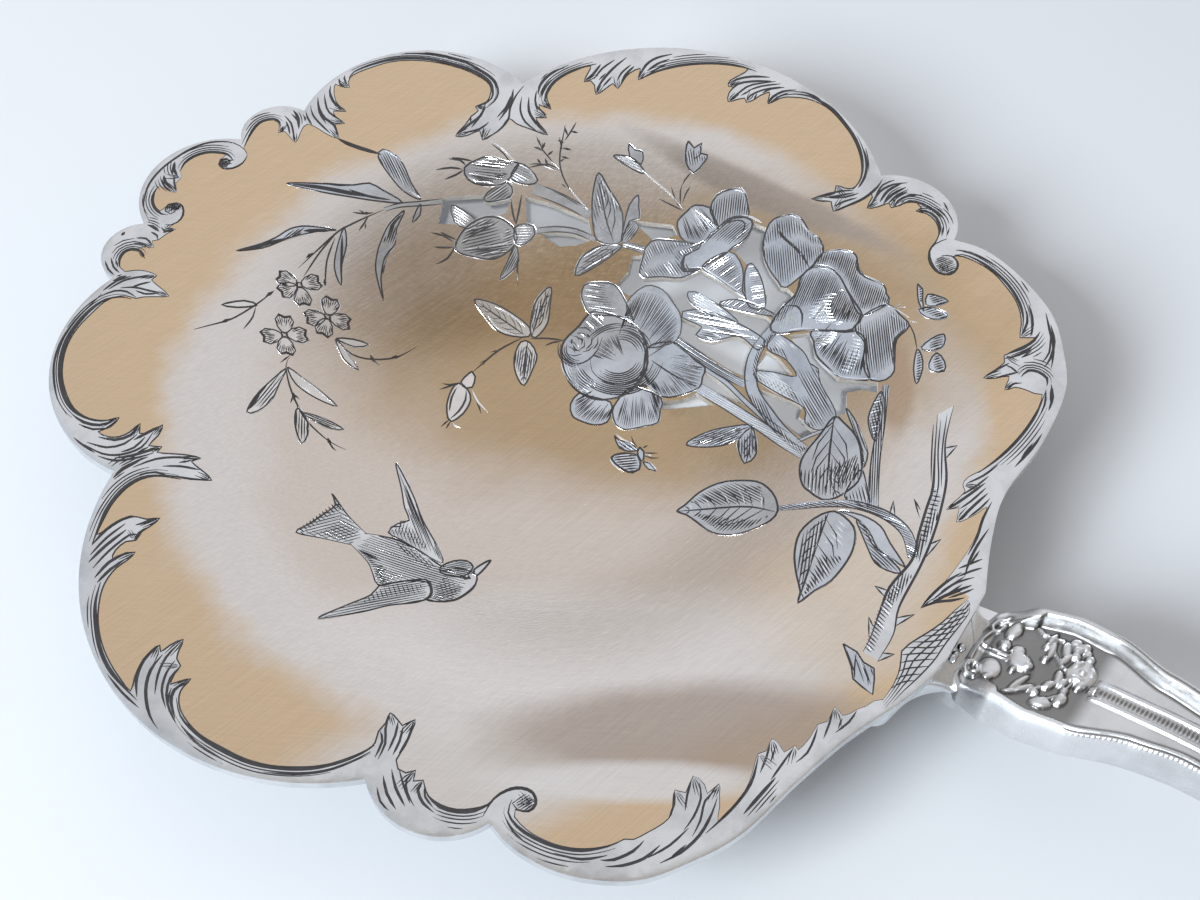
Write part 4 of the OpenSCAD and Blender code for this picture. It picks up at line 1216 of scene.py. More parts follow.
# buds, reeds and small flowers of the left-hand spray
def drawSpray():
    # the bright strokes in this spray are painted highlights
    # leaf group beside the half-open rose
    leaf(at(-129,254, -110,246, -92.5,239, -82.5,230, -72.5,212.5, -80,205, -92.5,201, -102.5,207.5,
        -115,222.5, -124,237.5), at(-78,208, -100,224, -128,252), 5, 36, 0.18, [(-40, 0.3, 0.05, 0.5)])
    engrave(at(-124,250, -110,244, -94,238), 0.18, "bright")
    leaf(at(-83,257, -76,248, -69,239, -76,232.5, -72.5,213, -80,230, -85,245), line=0.17)
    leaf(at(-76,232.5, -65,232.5, -65,220, -71,212.5), line=0.1, hatches=[(84, 0.2, 0.05, 0.95)])
    leaf(at(-69,210, -75,192.5, -85,172.5, -93,162.5, -97.5,177.5, -92.5,192.5, -80,205), at(-70,209,
        -82,188, -93,165), 4, 34, 0.18, [(62, 0.28, 0.1, 0.9)])
    engraveAll(0.16, [
        [-122,221, -145,225, -162.5,235, -172.5,247.5, -180,262.5, -187.5,277.5],
        [-162.5,234, -176,232, -190,217.5], [-180,286, -178,274, -177,262], [-184,262, -173,252],
        [-166,246, -168,241], [-196,239, -188,240], [-194,247, -189,240], [-203,249, -194,243],
        [-154,224, -148,224],
    ])
    engraveAll(0.14, [[-145,225, -130,221, -118,219], [-162,234, -176,236], [-166,231, -178,228]], "bright")
    band(at(-174,204, -154,210, -134,214, -113,216), 1.15, 0.8, 0.13)
    engrave(at(-164,212, -144,216, -120,218), 0.1)
    band(at(-149,173, -134,186, -116,196, -96,200), 0.5, 0.45, 0.16)

    # upper rose bud
    leaf(at(-200,215, -210,209, -227.5,202.5, -235,192.5, -240,177.5, -230,170, -215,175, -200,190),
        line=0.2, hatches=[(33, 0.3, 0.12, 0.85, 0.09)])
    hatch(at(-203,212, -226,202, -238,182, -226,190), 34, 0.22, 0, 1, 0.12)
    hatch(at(-236,174, -216,177, -201,192, -202,202, -218,186), 30, 0.24, 0, 0.95, 0.13)
    engrave(at(-232,172, -222,173), 0.24, "bright")
    leaf(at(-200,215, -188,217, -175,213, -180,204, -197.5,197.5), line=0.18,
        hatches=[(10, 0.26, 0.05, 0.8)])
    engrave(at(-196,215, -186,216, -177,212), 0.16, "bright")
    leaf(at(-204,164, -207.5,172.5, -199,192.5, -192,192, -187.5,182.5), line=0.16,
        hatches=[(72, 0.26, 0.05, 0.9)])
    engraveAll(0.2, [
        [-257.5,175, -248,181, -240,180], [-260,157.5, -250,169, -240,175],
        [-247.5,155, -242,166, -239,175], [-256,178, -246,184, -238,188],
        [-180,192.5, -174,180, -167.5,165], [-186,182, -176,172, -168,166],
    ])
    engrave(at(-236,217, -222,218, -205,214), 0.16, "bright")
    engrave(at(-234,215, -218,214, -204,209), 0.14)

    # lower rose bud
    leaf(at(-165,161, -182.5,161, -195,152.5, -202.5,137.5, -204,120, -199,107.5, -182.5,114, -165,127.5,
        -157.5,150), line=0.2, hatches=[(54, 0.3, 0.1, 0.8, 0.09)])
    hatch(at(-180,160, -196,150, -203,130, -198,114, -192,134), 66, 0.24, 0, 1, 0.13)
    hatch(at(-198,109, -174,122, -160,138, -159,152, -170,138, -184,124), 48, 0.22, 0, 1, 0.14)
    hatch(at(-174,159, -162,159, -159,148, -168,140), 60, 0.24, 0, 0.9, 0.12)
    leaf(at(-167,162, -162,171, -153,175, -147.5,170, -150,157.5, -157.5,151), line=0.18,
        hatches=[(40, 0.24, 0.05, 0.9, 0.09, "bright")])
    leaf(at(-157.5,150, -154,132, -150,114, -145,134, -149,144), line=0.15, hatches=[(-82, 0.2, 0.05, 0.9)])
    engraveAll(0.18, [
        [-151,147, -143,134, -133,121], [-202,115, -200,96, -205,83], [-226,104, -216,110, -205,112],
        [-216,95, -209,101, -202,108], [-220,111, -212,113, -204,116], [-146,142, -144,129],
    ])
    leaf(at(-227.5,139, -215,143, -201,143, -202,132, -216,128), line=0.12,
        hatches=[(8, 0.24, 0.1, 0.8, 0.14, "bright")])
    engrave(at(-141,130, -134,122), 0.14, "bright")

    # leaflets along the twig above the buds
    engraveAll(0.13, [[-165,233, -179,238, -190,241, -199,248], [-166,232, -182,228, -192,220]])
    engraveAll(0.24, [
        [-177,268, -182,271, -187,275], [-176,260, -183,258], [-174,254, -165,258], [-170,246, -162,249],
        [-178,274, -171,277], [-190,241, -198,238], [-190,241, -192,249], [-182,239, -180,246],
        [-182,228, -188,230], [-176,231, -182,235],
    ])

    # bud on the wall, twig above the rose
    leaf(at(-72.5,330, -67.5,317.5, -60,307.5, -47.5,302.5, -45,317.5, -47,326, -54,324, -60,335, -63,326),
        line=0.2, hatches=[(-48, 0.26, 0.2, 0.8)])
    engrave(at(-63,326, -56,316, -53,324), 0.14)
    engrave(at(-50,302, -51,292, -50,286), 0.14)
    engraveAll(0.15, [
        [-42.5,289, -42,280, -40,272.5], [-51,287, -48,280, -41,270], [-59,280, -49,272, -40,267],
        [-64,264, -50,265, -33,266],
    ])
    engrave(at(-36,267, -55,273, -74,276, -94,279), 0.16, "bright")
    leaf(at(-127,276, -112.5,284, -100,283, -89,277.5, -102.5,275), line=0.16,
        hatches=[(6, 0.24, 0.1, 0.9, 0.12, "bright")])
    leaf(at(-121,295, -112,293, -104,295, -98,284, -112,284), line=0.16)

    # reed with long leaves
    band(at(-236,136, -250,120, -264,104, -272,90), 0.5, 0.35, 0.13)
    engraveAll(0.16, [
        [-272,90, -280,70, -286,52, -289,40, -290,14, -290,-18], [-277.5,80, -284,72, -292,66],
        [-279,74, -277,64, -276,55], [-289,37.5, -287,10, -281,-21], [-287,33, -277,8, -262,-13],
        [-282,74, -289,72], [-276,66, -273,61],
    ])
    engraveAll(0.3, [[-291,5, -292,-4], [-267,-8, -262,-13], [-280,77, -284,72]])
    leaf(at(-253,123, -270,130, -287,140, -300,144, -315,142, -312,131, -290,122, -270,118), line=0.16,
        hatches=[(-28, 0.24, 0.05, 0.85)])
    engrave(at(-312,136, -332,130, -350,127, -362,127), 0.45)
    engraveAll(0.2, [[-314,142, -300,144, -290,142], [-266,122, -254,124]], "bright")
    leaf(at(-264,108, -285,105, -300,102, -310,90, -330,74, -362,50, -330,62, -300,80, -280,94), line=0.18)
    engrave(at(-286,94, -306,81, -326,70, -356,53), 0.42)
    engraveAll(0.24, [[-274,102, -292,90, -310,83], [-309,91, -320,81, -334,72]])
    leaf(at(-257.5,103, -260,82.5, -255,62.5, -250,50, -240,35, -218,18, -232.5,33, -242.5,52.5, -244,70,
        -252,83), line=0.16)
    engraveAll(0.26, [[-257,98, -257,82, -252,70], [-244,66, -242,52, -234,38]])
    hatch(at(-259,90, -253,62, -245,68, -252,84), -70, 0.2, 0, 1, 0.12)
    leaf(at(-291,40, -312.5,24, -322.5,10, -326,-8, -332.5,-25, -343,-44, -327,-25, -319,-5, -312,10,
        -300,30), line=0.16)
    engraveAll(0.34, [[-316,2, -324,-12, -332,-28, -341,-42], [-294,36, -304,26, -312,17]])
    hatch(at(-313,22, -321,8, -320,-6, -312,8), 84, 0.2, 0, 1, 0.12)
    leaf(at(-287.5,47.5, -275,35, -265,15, -253,-1, -268,8, -280,27.5), line=0.16)
    engrave(at(-284,40, -272,24, -258,5), 0.24)
    leaf(at(-250,119, -244,110, -245,99, -249,110), line=0.16)

    # three four-petal flowers
    board["metal"] = "spray"
    flowers = (((-27.8, -3.1), (200, 62, 322, 252)), ((-24.1, -3.6), (118, 32, 296, 236)),
               ((-25.3, -8.2), (130, 52, 316, 238)))
    # outline of a petal: distance from the flower's middle, distance aside
    outline = ((0.15, 0), (0.8, 0.62), (1.55, 0.82), (2.05, 0.5), (1.85, 0), (2.05, -0.5), (1.55, -0.82),
               (0.8, -0.62))
    eye = 0.35
    for (cx, cy), bearings in flowers:
        for bearing in bearings:
            a = math.radians(bearing)
            ahead = (math.cos(a), math.sin(a))
            aside = (-ahead[1], ahead[0])
            petal = []
            for far, off in outline:
                petal.append((cx + ahead[0] * far + aside[0] * off, cy + ahead[1] * far + aside[1] * off))
            leaf(petal, line=0.13)
            fan(petal[2:7], (cx, cy), 9, 0.3, 0.6, 0.085)
            engrave(petal[2:7], 0.27)
        engrave([(cx + eye, cy), (cx, cy + eye), (cx - eye, cy), (cx, cy - eye)], 0.14, closed=True)
    engraveAll(0.15, [
        [-289,-53, -290,-77, -293,-100, -297,-113, -310,-138],
        [-223,-48, -203,-48, -188,-37, -175,-18, -169,5],
        [-235,-96, -231,-106, -215,-120, -196,-131, -180,-137, -155,-138, -140,-133],
        [-156,-138, -148,-141, -144,-141], [-206,-126, -202,-134], [-208,-124, -200,-124],
        [-236,-94, -236,-108], [-192,-36, -180,-37], [-289,-79, -283,-90, -280,-106],
    ])
    engraveAll(0.34, [
        [-295,-106, -298,-116], [-192,-35, -185,-38], [-178,-22, -173,-14], [-208,-123, -202,-129],
        [-158,-136, -151,-140], [-289,-54, -290,-64],
    ])
    leaf(at(-289,-77, -300,-82, -311,-100, -299,-92), line=0.2)
    leaf(at(-222,-47, -212,-35, -200,-28, -206,-40), line=0.17)
    leaf(at(-222,-48, -206,-50, -189,-56, -204,-58), line=0.15)
    engrave(at(-216,-49, -204,-50, -192,-54), 0.16, "bright")
    leaf(at(-229,-106, -214,-104, -200,-102, -176,-102, -193,-111, -213,-114), line=0.14)
    engraveAll(0.16, [[-220,-105, -200,-103, -179,-103], [-214,-112, -200,-111]], "bright")
    leaf(at(-229,-109, -222,-125, -214,-145, -213,-164, -218,-172, -226,-148), line=0.15,
        hatches=[(-78, 0.26, 0.05, 0.9)])
    engrave(at(-226,-146, -222,-158, -219,-170), 0.36)
    leaf(at(-189,-133, -174,-122, -156,-117, -164,-126, -176,-131), line=0.17,
        hatches=[(26, 0.2, 0.05, 0.9)])
    leaf(at(-195,-132, -180,-137, -170,-149, -167,-160, -180,-152, -190,-142), line=0.17,
        hatches=[(-50, 0.24, 0.05, 0.9)])

    # crossed leaves with the rose hip
    leaf(at(-106,140, -96,124, -88,108, -89,90, -97.5,93, -109,115, -110,130), at(-92,88, -100,110,
        -106,138), 4, 30, 0.18, [(-66, 0.26, 0.1, 0.8)])
    leaf(at(-157.5,82.5, -140,92.5, -120,96, -100,95, -95,87, -107.5,77.5, -122.5,72.5, -140,76), at(-94,86,
        -122,85, -156,82.5), 6, 36, 0.16)
    engraveAll(0.14, [[-104,93, -120,94, -138,90], [-106,80, -122,75, -138,78]], "bright")
    leaf(at(-90,82.5, -76,75, -70,60, -65,39, -80,46, -92.5,60, -97.5,77.5), at(-93,83, -82,64, -67,41), 5,
        32, 0.18, [(-60, 0.24, 0.1, 0.9)])
    engraveAll(0.17, [
        [-92.5,86, -78,97, -62,105], [-76,89, -72,96, -66,102], [-99,82.5, -109,57.5, -112.5,35, -114,22.5],
        [-114,50, -111,55, -108,51], [-115,34, -113,39, -110,34], [-116,4, -122,-4, -128,-8],
        [-118,1, -123,-9, -126,-15], [-90,-4, -84,-7, -78,-12], [-98,-35, -99,-47], [-96,-36, -94,-46],
    ])
    engraveAll(0.17, [[-102,5, -88,-3, -73,-7], [-95,-36, -89,-38, -83,-37]], "bright")
    leaf(at(-115,22, -109,19, -104,8, -108,3, -116,6), line=0.2)
    leaf(at(-117,3, -106,3, -96,-5, -92,-22, -95,-36, -100,-35, -110,-24, -117,-8), line=0.2)
    engraveAll(0.2, [[-107,2, -100,-8, -97,-22, -98,-34], [-115,-2, -112,-14, -104,-28]])


drawSpray()
board["metal"] = "flower"


# swallow
def drawSwallow():
    wingTop = leaf(at(-102,-109, -69,-126, -42,-144, -12,-160, 5,-173, -12,-176, -39,-177, -52,-179,
        -54,-164, -50,-153, -63,-144, -79,-129), line=0.14)
    hatch(at(-98,-112, -42,-145, 2,-172, -46,-152), -33, 0.14, 0, 1, 0.1)
    hatch(wingTop, -34, 0.3, 0.2, 0.95)
    hatch(at(-52,-156, -20,-164, -16,-174, -52,-177), -60, 0.3, 0, 0.9, 0.1)
    engrave(at(-50,-154, -54,-160, -50,-165, -55,-171, -52,-178), 0.16)
    tailEdge = at(-62,-195, -86,-191, -104,-185, -113,-182, -102,-190, -101,-204, -100,-224, -100,-241,
        -82,-229, -62,-216)
    tail = plate(smooth(tailEdge), board["metal"])
    engrave(tailEdge, 0.14)
    hatch(tail, 72, 0.34, 0.05, 0.9, 0.08)
    hatch(tail, 14, 0.4, 0.3, 0.9, 0.08)
    for k in range(12):
        y = -18.9 - 0.42 * k
        cut([(-10.5 + 0.03 * k, y + 0.12), (-10.1, y), (-9.6, y - 0.04)], 0.16)
    wingLow = leaf(at(9,-200, 20,-206, 26,-216, 23,-229, 10,-248, -1,-272, -20,-301, -15,-277, -9,-250,
        -12,-236, -6,-222), line=0.15)
    bodyEdge = at(-64,-196, -55,-188, -39,-179, -17,-176, 7,-177, 18,-170, 30,-164, 37,-165, 43.5,-175,
        45,-188, 43.5,-204, 34,-216, 26,-220, 24,-210, 12,-202, -4,-218, -12,-236, -25,-229, -39,-220.5,
        -64,-215)
    body = plate(smooth(bodyEdge), board["metal"])
    engrave(bodyEdge, 0.15)
    hatch(body, 22, 0.3, 0.06, 0.94, 0.08)
    hatch(at(-42,-184, -28,-179, 4,-179, 2,-188, -26,-188), -14, 0.3, 0, 1, 0.09)
    hatch(at(16,-184, 42,-176, 42,-204, 30,-216, 22,-204), 70, 0.32, 0, 0.8, 0.09)
    fan(at(-56,-216, -38,-221, -24,-229, -13,-235), (-1.2, -20.2), 16, 0.2, 0.45, 0.12)
    hatch(wingLow, 62, 0.28, 0.03, 0.97, 0.09)
    hatch(at(-6,-224, 10,-208, 22,-218, 8,-246, -8,-266, -10,-242), -34, 0.42, 0, 0.7, 0.09)
    engrave(at(9,-200, 19,-205, 26,-215, 24,-228), 0.26)
    engrave(at(37,-165, 43.5,-175, 45.5,-188, 43.5,-204, 34,-216, 26,-221), 0.24)
    engrave(at(-54,-188, -39,-179, -17,-176, 5,-177), 0.22)
    leaf(at(33.5,-141, 30,-160, 37,-165), line=0.22)
    leaf(at(7,-177, 10,-164, 18,-156, 27,-158, 30,-168, 29,-175, 23,-180, 12,-184), line=0.18,
        hatches=[(30, 0.24, 0, 1, 0.1)])
    engrave(at(27,-174, 32,-175, 34,-172, 31,-169), 0.34)


board.update(hatchBreadth=0.8, sparkle=0.3, metal="silver")
drawSwallow()
print("flowers and bird drawn:", len(board["plates"]), "plates,", len(board["cuts"]), "cuts")


def makePiece(name, coords, faces, materials, sharpAngle):
    mesh = bpy.data.meshes.new(name)
    mesh.from_pydata([(x * mm, y * mm, z * mm) for x, y, z in coords], [], faces)
    for material in materials:
        mesh.materials.append(material)
    mesh.polygons.foreach_set("use_smooth", [True] * len(faces))
    mesh.set_sharp_from_angle(angle=math.radians(sharpAngle))
    mesh.update()
    made = bpy.data.objects.new(name, mesh)
    bpy.context.scene.collection.objects.link(made)
    print(name, "built:", len(coords), "vertices,", len(faces), "faces")
    return made


# bowl: one pierced sheet with the drawing cut into it
bowl = {
    "wellRadius": 36,
    "floorRadius": 9,
    "depth": 9,
    "brimZ": 10,
    "sheet": 1,
    "edgeInset": 0.22,
    "edgeDrop": 0.05,
    "cutMargin": 0.3,
    "thinning": 0.4,
    "thinFrom": 9,
    "thinTo": 35,
    "thinEase": 4,
    "grid": 1,
    "gridHalf": 50,
    "lipHeight": 0.03,
    "grooveHeight": 0.013,
    "cutSink": 0.03,
    "shortestCut": 0.3,
    "cutTaper": (0.12, 3.2),  # breadth at the ends, growth along the cut
    "tipRadius": 7.7,
    "tipSteps": 16,
    "edgeStep": 0.7,
    # cusps and heel curve as distance out of the well and bearing, rises of the lobes between the cusps
    "upper": {
        "cusps": [(8.5, 171), (7.7, 161.7), (3.4, 130.9), (5.5, 74.6), (6.3, 60.2)],
        "rises": [2.5, 6.9, 11.3, 3.2],
        "heel": [(8.4, 57.1), (10, 52.1), (11.2, 45.9), (11, 40), (10.3, 34.7), (7.9, 27.4), (5.1, 19)],
        "end": [(40.2, 8.4), (42.2, 3.6)],
    },
    "lower": {
        "cusps": [(8.5, 171), (7.7, 161.7), (3.2, 130.9), (4.7, 74.6), (6.1, 60.2)],
        "rises": [2.5, 5.8, 11.1, 2.7],
        "heel": [(8.2, 57.1), (10.1, 52.1), (11, 45.9), (10.3, 40), (9.3, 34.7), (7.2, 27.4), (6.2, 20)],
        "end": [(41.4, 9.6), (42.2, 6.8), (42.6, 4)],
    },
}


def dishHeight(x, y):
    reach = (bowl["wellRadius"] - math.hypot(x, y)) / (bowl["wellRadius"] - bowl["floorRadius"])
    t = min(1, max(0, reach))
    return bowl["brimZ"] - bowl["depth"] * t * t * (3 - 2 * t)


def polar(out, bearing):
    far = bowl["wellRadius"] + out
    return (far * math.cos(math.radians(bearing)), far * math.sin(math.radians(bearing)))


def lobe(a, b, rise):
    half = math.dist(a, b) / 2
    radius = (half * half + rise * rise) / (2 * rise)
    out = (-(b[1] - a[1]) / (2 * half), (b[0] - a[0]) / (2 * half))
    centre = ((a[0] + b[0]) / 2 + out[0] * (rise - radius), (a[1] + b[1]) / 2 + out[1] * (rise - radius))
    start = math.atan2(a[1] - centre[1], a[0] - centre[0])
    end = math.atan2(b[1] - centre[1], b[0] - centre[0])
    turn = end - start - (2 * math.pi if end > start else 0)
    count = max(4, round(abs(turn) * radius / bowl["edgeStep"]))
    line = []
    for i in range(count):
        angle = start + turn * i / count
        line.append((centre[0] + radius * math.cos(angle), centre[1] + radius * math.sin(angle)))
    return line


def sideEdge(side):
    cusps = [polar(*c) for c in side["cusps"]]
    reach = math.sqrt(bowl["tipRadius"] ** 2 - cusps[0][1] ** 2)
    centreX = cusps[0][0] + reach
    turn = math.atan2(cusps[0][1], -reach)
    line = []
    steps = bowl["tipSteps"]
    for i in range(steps):
        angle = math.pi - (math.pi - turn) * i / steps
        line.append((centreX + bowl["tipRadius"] * math.cos(angle), bowl["tipRadius"] * math.sin(angle)))
    for a, b, rise in zip(cusps, cusps[1:], side["rises"]):
        line += lobe(a, b, rise)
    return line + smooth([cusps[-1]] + [polar(*p) for p in side["heel"]] + side["end"], bowl["edgeStep"])


def bowlEdge():
    upper = sideEdge(bowl["upper"])
    lower = [(x, -y) for x, y in sideEdge(bowl["lower"])[::-1] if y > 0.01]
    return (upper + lower)[::-1]


def triangulate():
    edge = bowlEdge()
    points = []
    faces = []
    seams = []

    def addLoop(loop, asFace):
        start = len(points)
        points.extend(Vector(p) for p in loop)
        ids = list(range(start, len(points)))
        if asFace:
            faces.append(ids)
        else:
            seams.extend(zip(ids, ids[1:] + ids[:1]))

    addLoop(edge, True)
    for _, loop in board["plates"]:
        addLoop(loop, True)
    addLoop(insetLoop(edge, bowl["edgeInset"]), False)
    # filling points, every other row set over by half a step
    step = bowl["grid"]
    half = bowl["gridHalf"]
    rowGap = step * 0.866
    for row in range(int(2 * half / rowGap)):
        y = row * rowGap - half
        for column in range(int(2 * half / step)):
            x = (column + 0.5 * (row % 2)) * step - half
            if inside(edge, x, y):
                points.append(Vector((x, y)))
    print("bowl sheet:", len(points), "points")
    verts, _, tris, _, _, owners = delaunay_2d_cdt(points, seams, faces, 0, 1e-5, True)
    return verts, tris, owners


def sheetAt(x, y):
    # the sloping wall, where the windows are, is beaten thinner than the well and the brim
    out = math.hypot(x, y)
    span = bowl["thinEase"]
    rise = min(1, max(0, (out - bowl["thinFrom"]) / span)) * min(1, max(0, (bowl["thinTo"] - out) / span))
    return bowl["sheet"] - bowl["thinning"] * rise


def buildBowl():
    verts, tris, owners = triangulate()
    kinds = [kind for kind, _ in board["plates"]]
    kept = []
    windowEdges = set()
    for tri, owner in zip(tris, owners):
        if 0 not in owner:
            continue
        top = max(owner)
        kind = kinds[top - 1] if top else "gilt"
        if kind == "window":
            for a, b in zip(tri, tri[1:] + tri[:1]):
                windowEdges.add(frozenset((a, b)))
            continue
        kept.append((tri, kind))
    uses = {}
    for tri, kind in kept:
        for a, b in zip(tri, tri[1:] + tri[:1]):
            uses.setdefault(frozenset((a, b)), []).append((a, b))
    rims = [pairs[0] for pairs in uses.values() if len(pairs) == 1]
    outer = {v for a, b in rims if frozenset((a, b)) not in windowEdges for v in (a, b)}

    used = sorted({v for tri, _ in kept for v in tri})
    renamed = {v: i for i, v in enumerate(used)}
    count = len(used)
    coords = []
    under = []
    for v in used:
        x, y = verts[v]
        top = dishHeight(x, y)
        drop = bowl["edgeDrop"] if v in outer else 0
        coords.append((x, y, top - drop))
        under.append((x, y, top - sheetAt(x, y) + drop))
    coords += under
    faces = []
    slots = []
    finishes = {"gilt": giltMetal, "silver": plateSilver, "dark": darkCut, "bright": paintedGlintCut,
                "flower": flowerSilver, "spray": spraySilver, "sawn": sawnEdge}
    slotOf = {kind: i for i, kind in enumerate(finishes)}
    for tri, kind in kept:
        ids = [renamed[v] for v in tri]
        faces.append(ids)
        slots.append(slotOf[kind])
        faces.append([i + count for i in ids[::-1]])
        slots.append(slotOf["silver"])
    for a, b in rims:
        i, j = renamed[a], renamed[b]
        faces.append([j, i, i + count, j + count])
        slots.append(slotOf["sawn" if frozenset((a, b)) in windowEdges else "silver"])

    # each cut is a closed sliver with a grooved top, standing a hair above the sheet
    safe = insetLoop(bowlEdge(), bowl["cutMargin"])
    for line, width, tone in board["cuts"]:
        for run in keptRuns(line, safe):
            addCut(coords, faces, slots, run, width, slotOf[tone])
    made = makePiece("piercedBowl", coords, faces, finishes.values(), 38)
    made.data.polygons.foreach_set("material_index", slots)
    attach(made, "root")
    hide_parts("bowl")


def keptRuns(line, safe):
    # the stretches of a line that lie on the sheet
    runs = [[]]
    for x, y in line:
        if math.hypot(x, y) < bowl["wellRadius"] or inside(safe, x, y):
            runs[-1].append((x, y))
        elif runs[-1]:
            runs.append([])
    return [run for run in runs if len(run) > 2 or len(run) == 2 and math.dist(*run) > bowl["shortestCut"]]


def addCut(coords, faces, slots, line, width, slot):
    last = len(line) - 1
    if last == 1:
        line = [line[0], ((line[0][0] + line[1][0]) / 2, (line[0][1] + line[1][1]) / 2), line[1]]
        last = 2
    closed = math.dist(line[0], line[-1]) < 1e-6
    thin, growth = bowl["cutTaper"]
    first = len(coords)
    for i, ((x, y), (nx, ny)) in enumerate(zip(line, normals(line))):
        share = 1 if closed else min(1, thin + growth * min(i, last - i) / last)
        half = width / 2 * share
        for side, lift in ((1, bowl["lipHeight"]), (0, bowl["grooveHeight"]), (-1, bowl["lipHeight"]),
                           (0, -bowl["cutSink"])):
            px = x + nx * half * side
            py = y + ny * half * side
            coords.append((px, py, dishHeight(px, py) + lift))
    for i in range(last):
        here = first + 4 * i
        for k in range(4):
            n = (k + 1) % 4
            faces.append([here + k, here + n, here + 4 + n, here + 4 + k])
            slots.append(slot)
    if not closed:
        end = first + 4 * last
        faces.append([first + 3, first + 2, first + 1, first])
        faces.append([end, end + 1, end + 2, end + 3])
        slots.extend((slot, slot))


buildBowl()


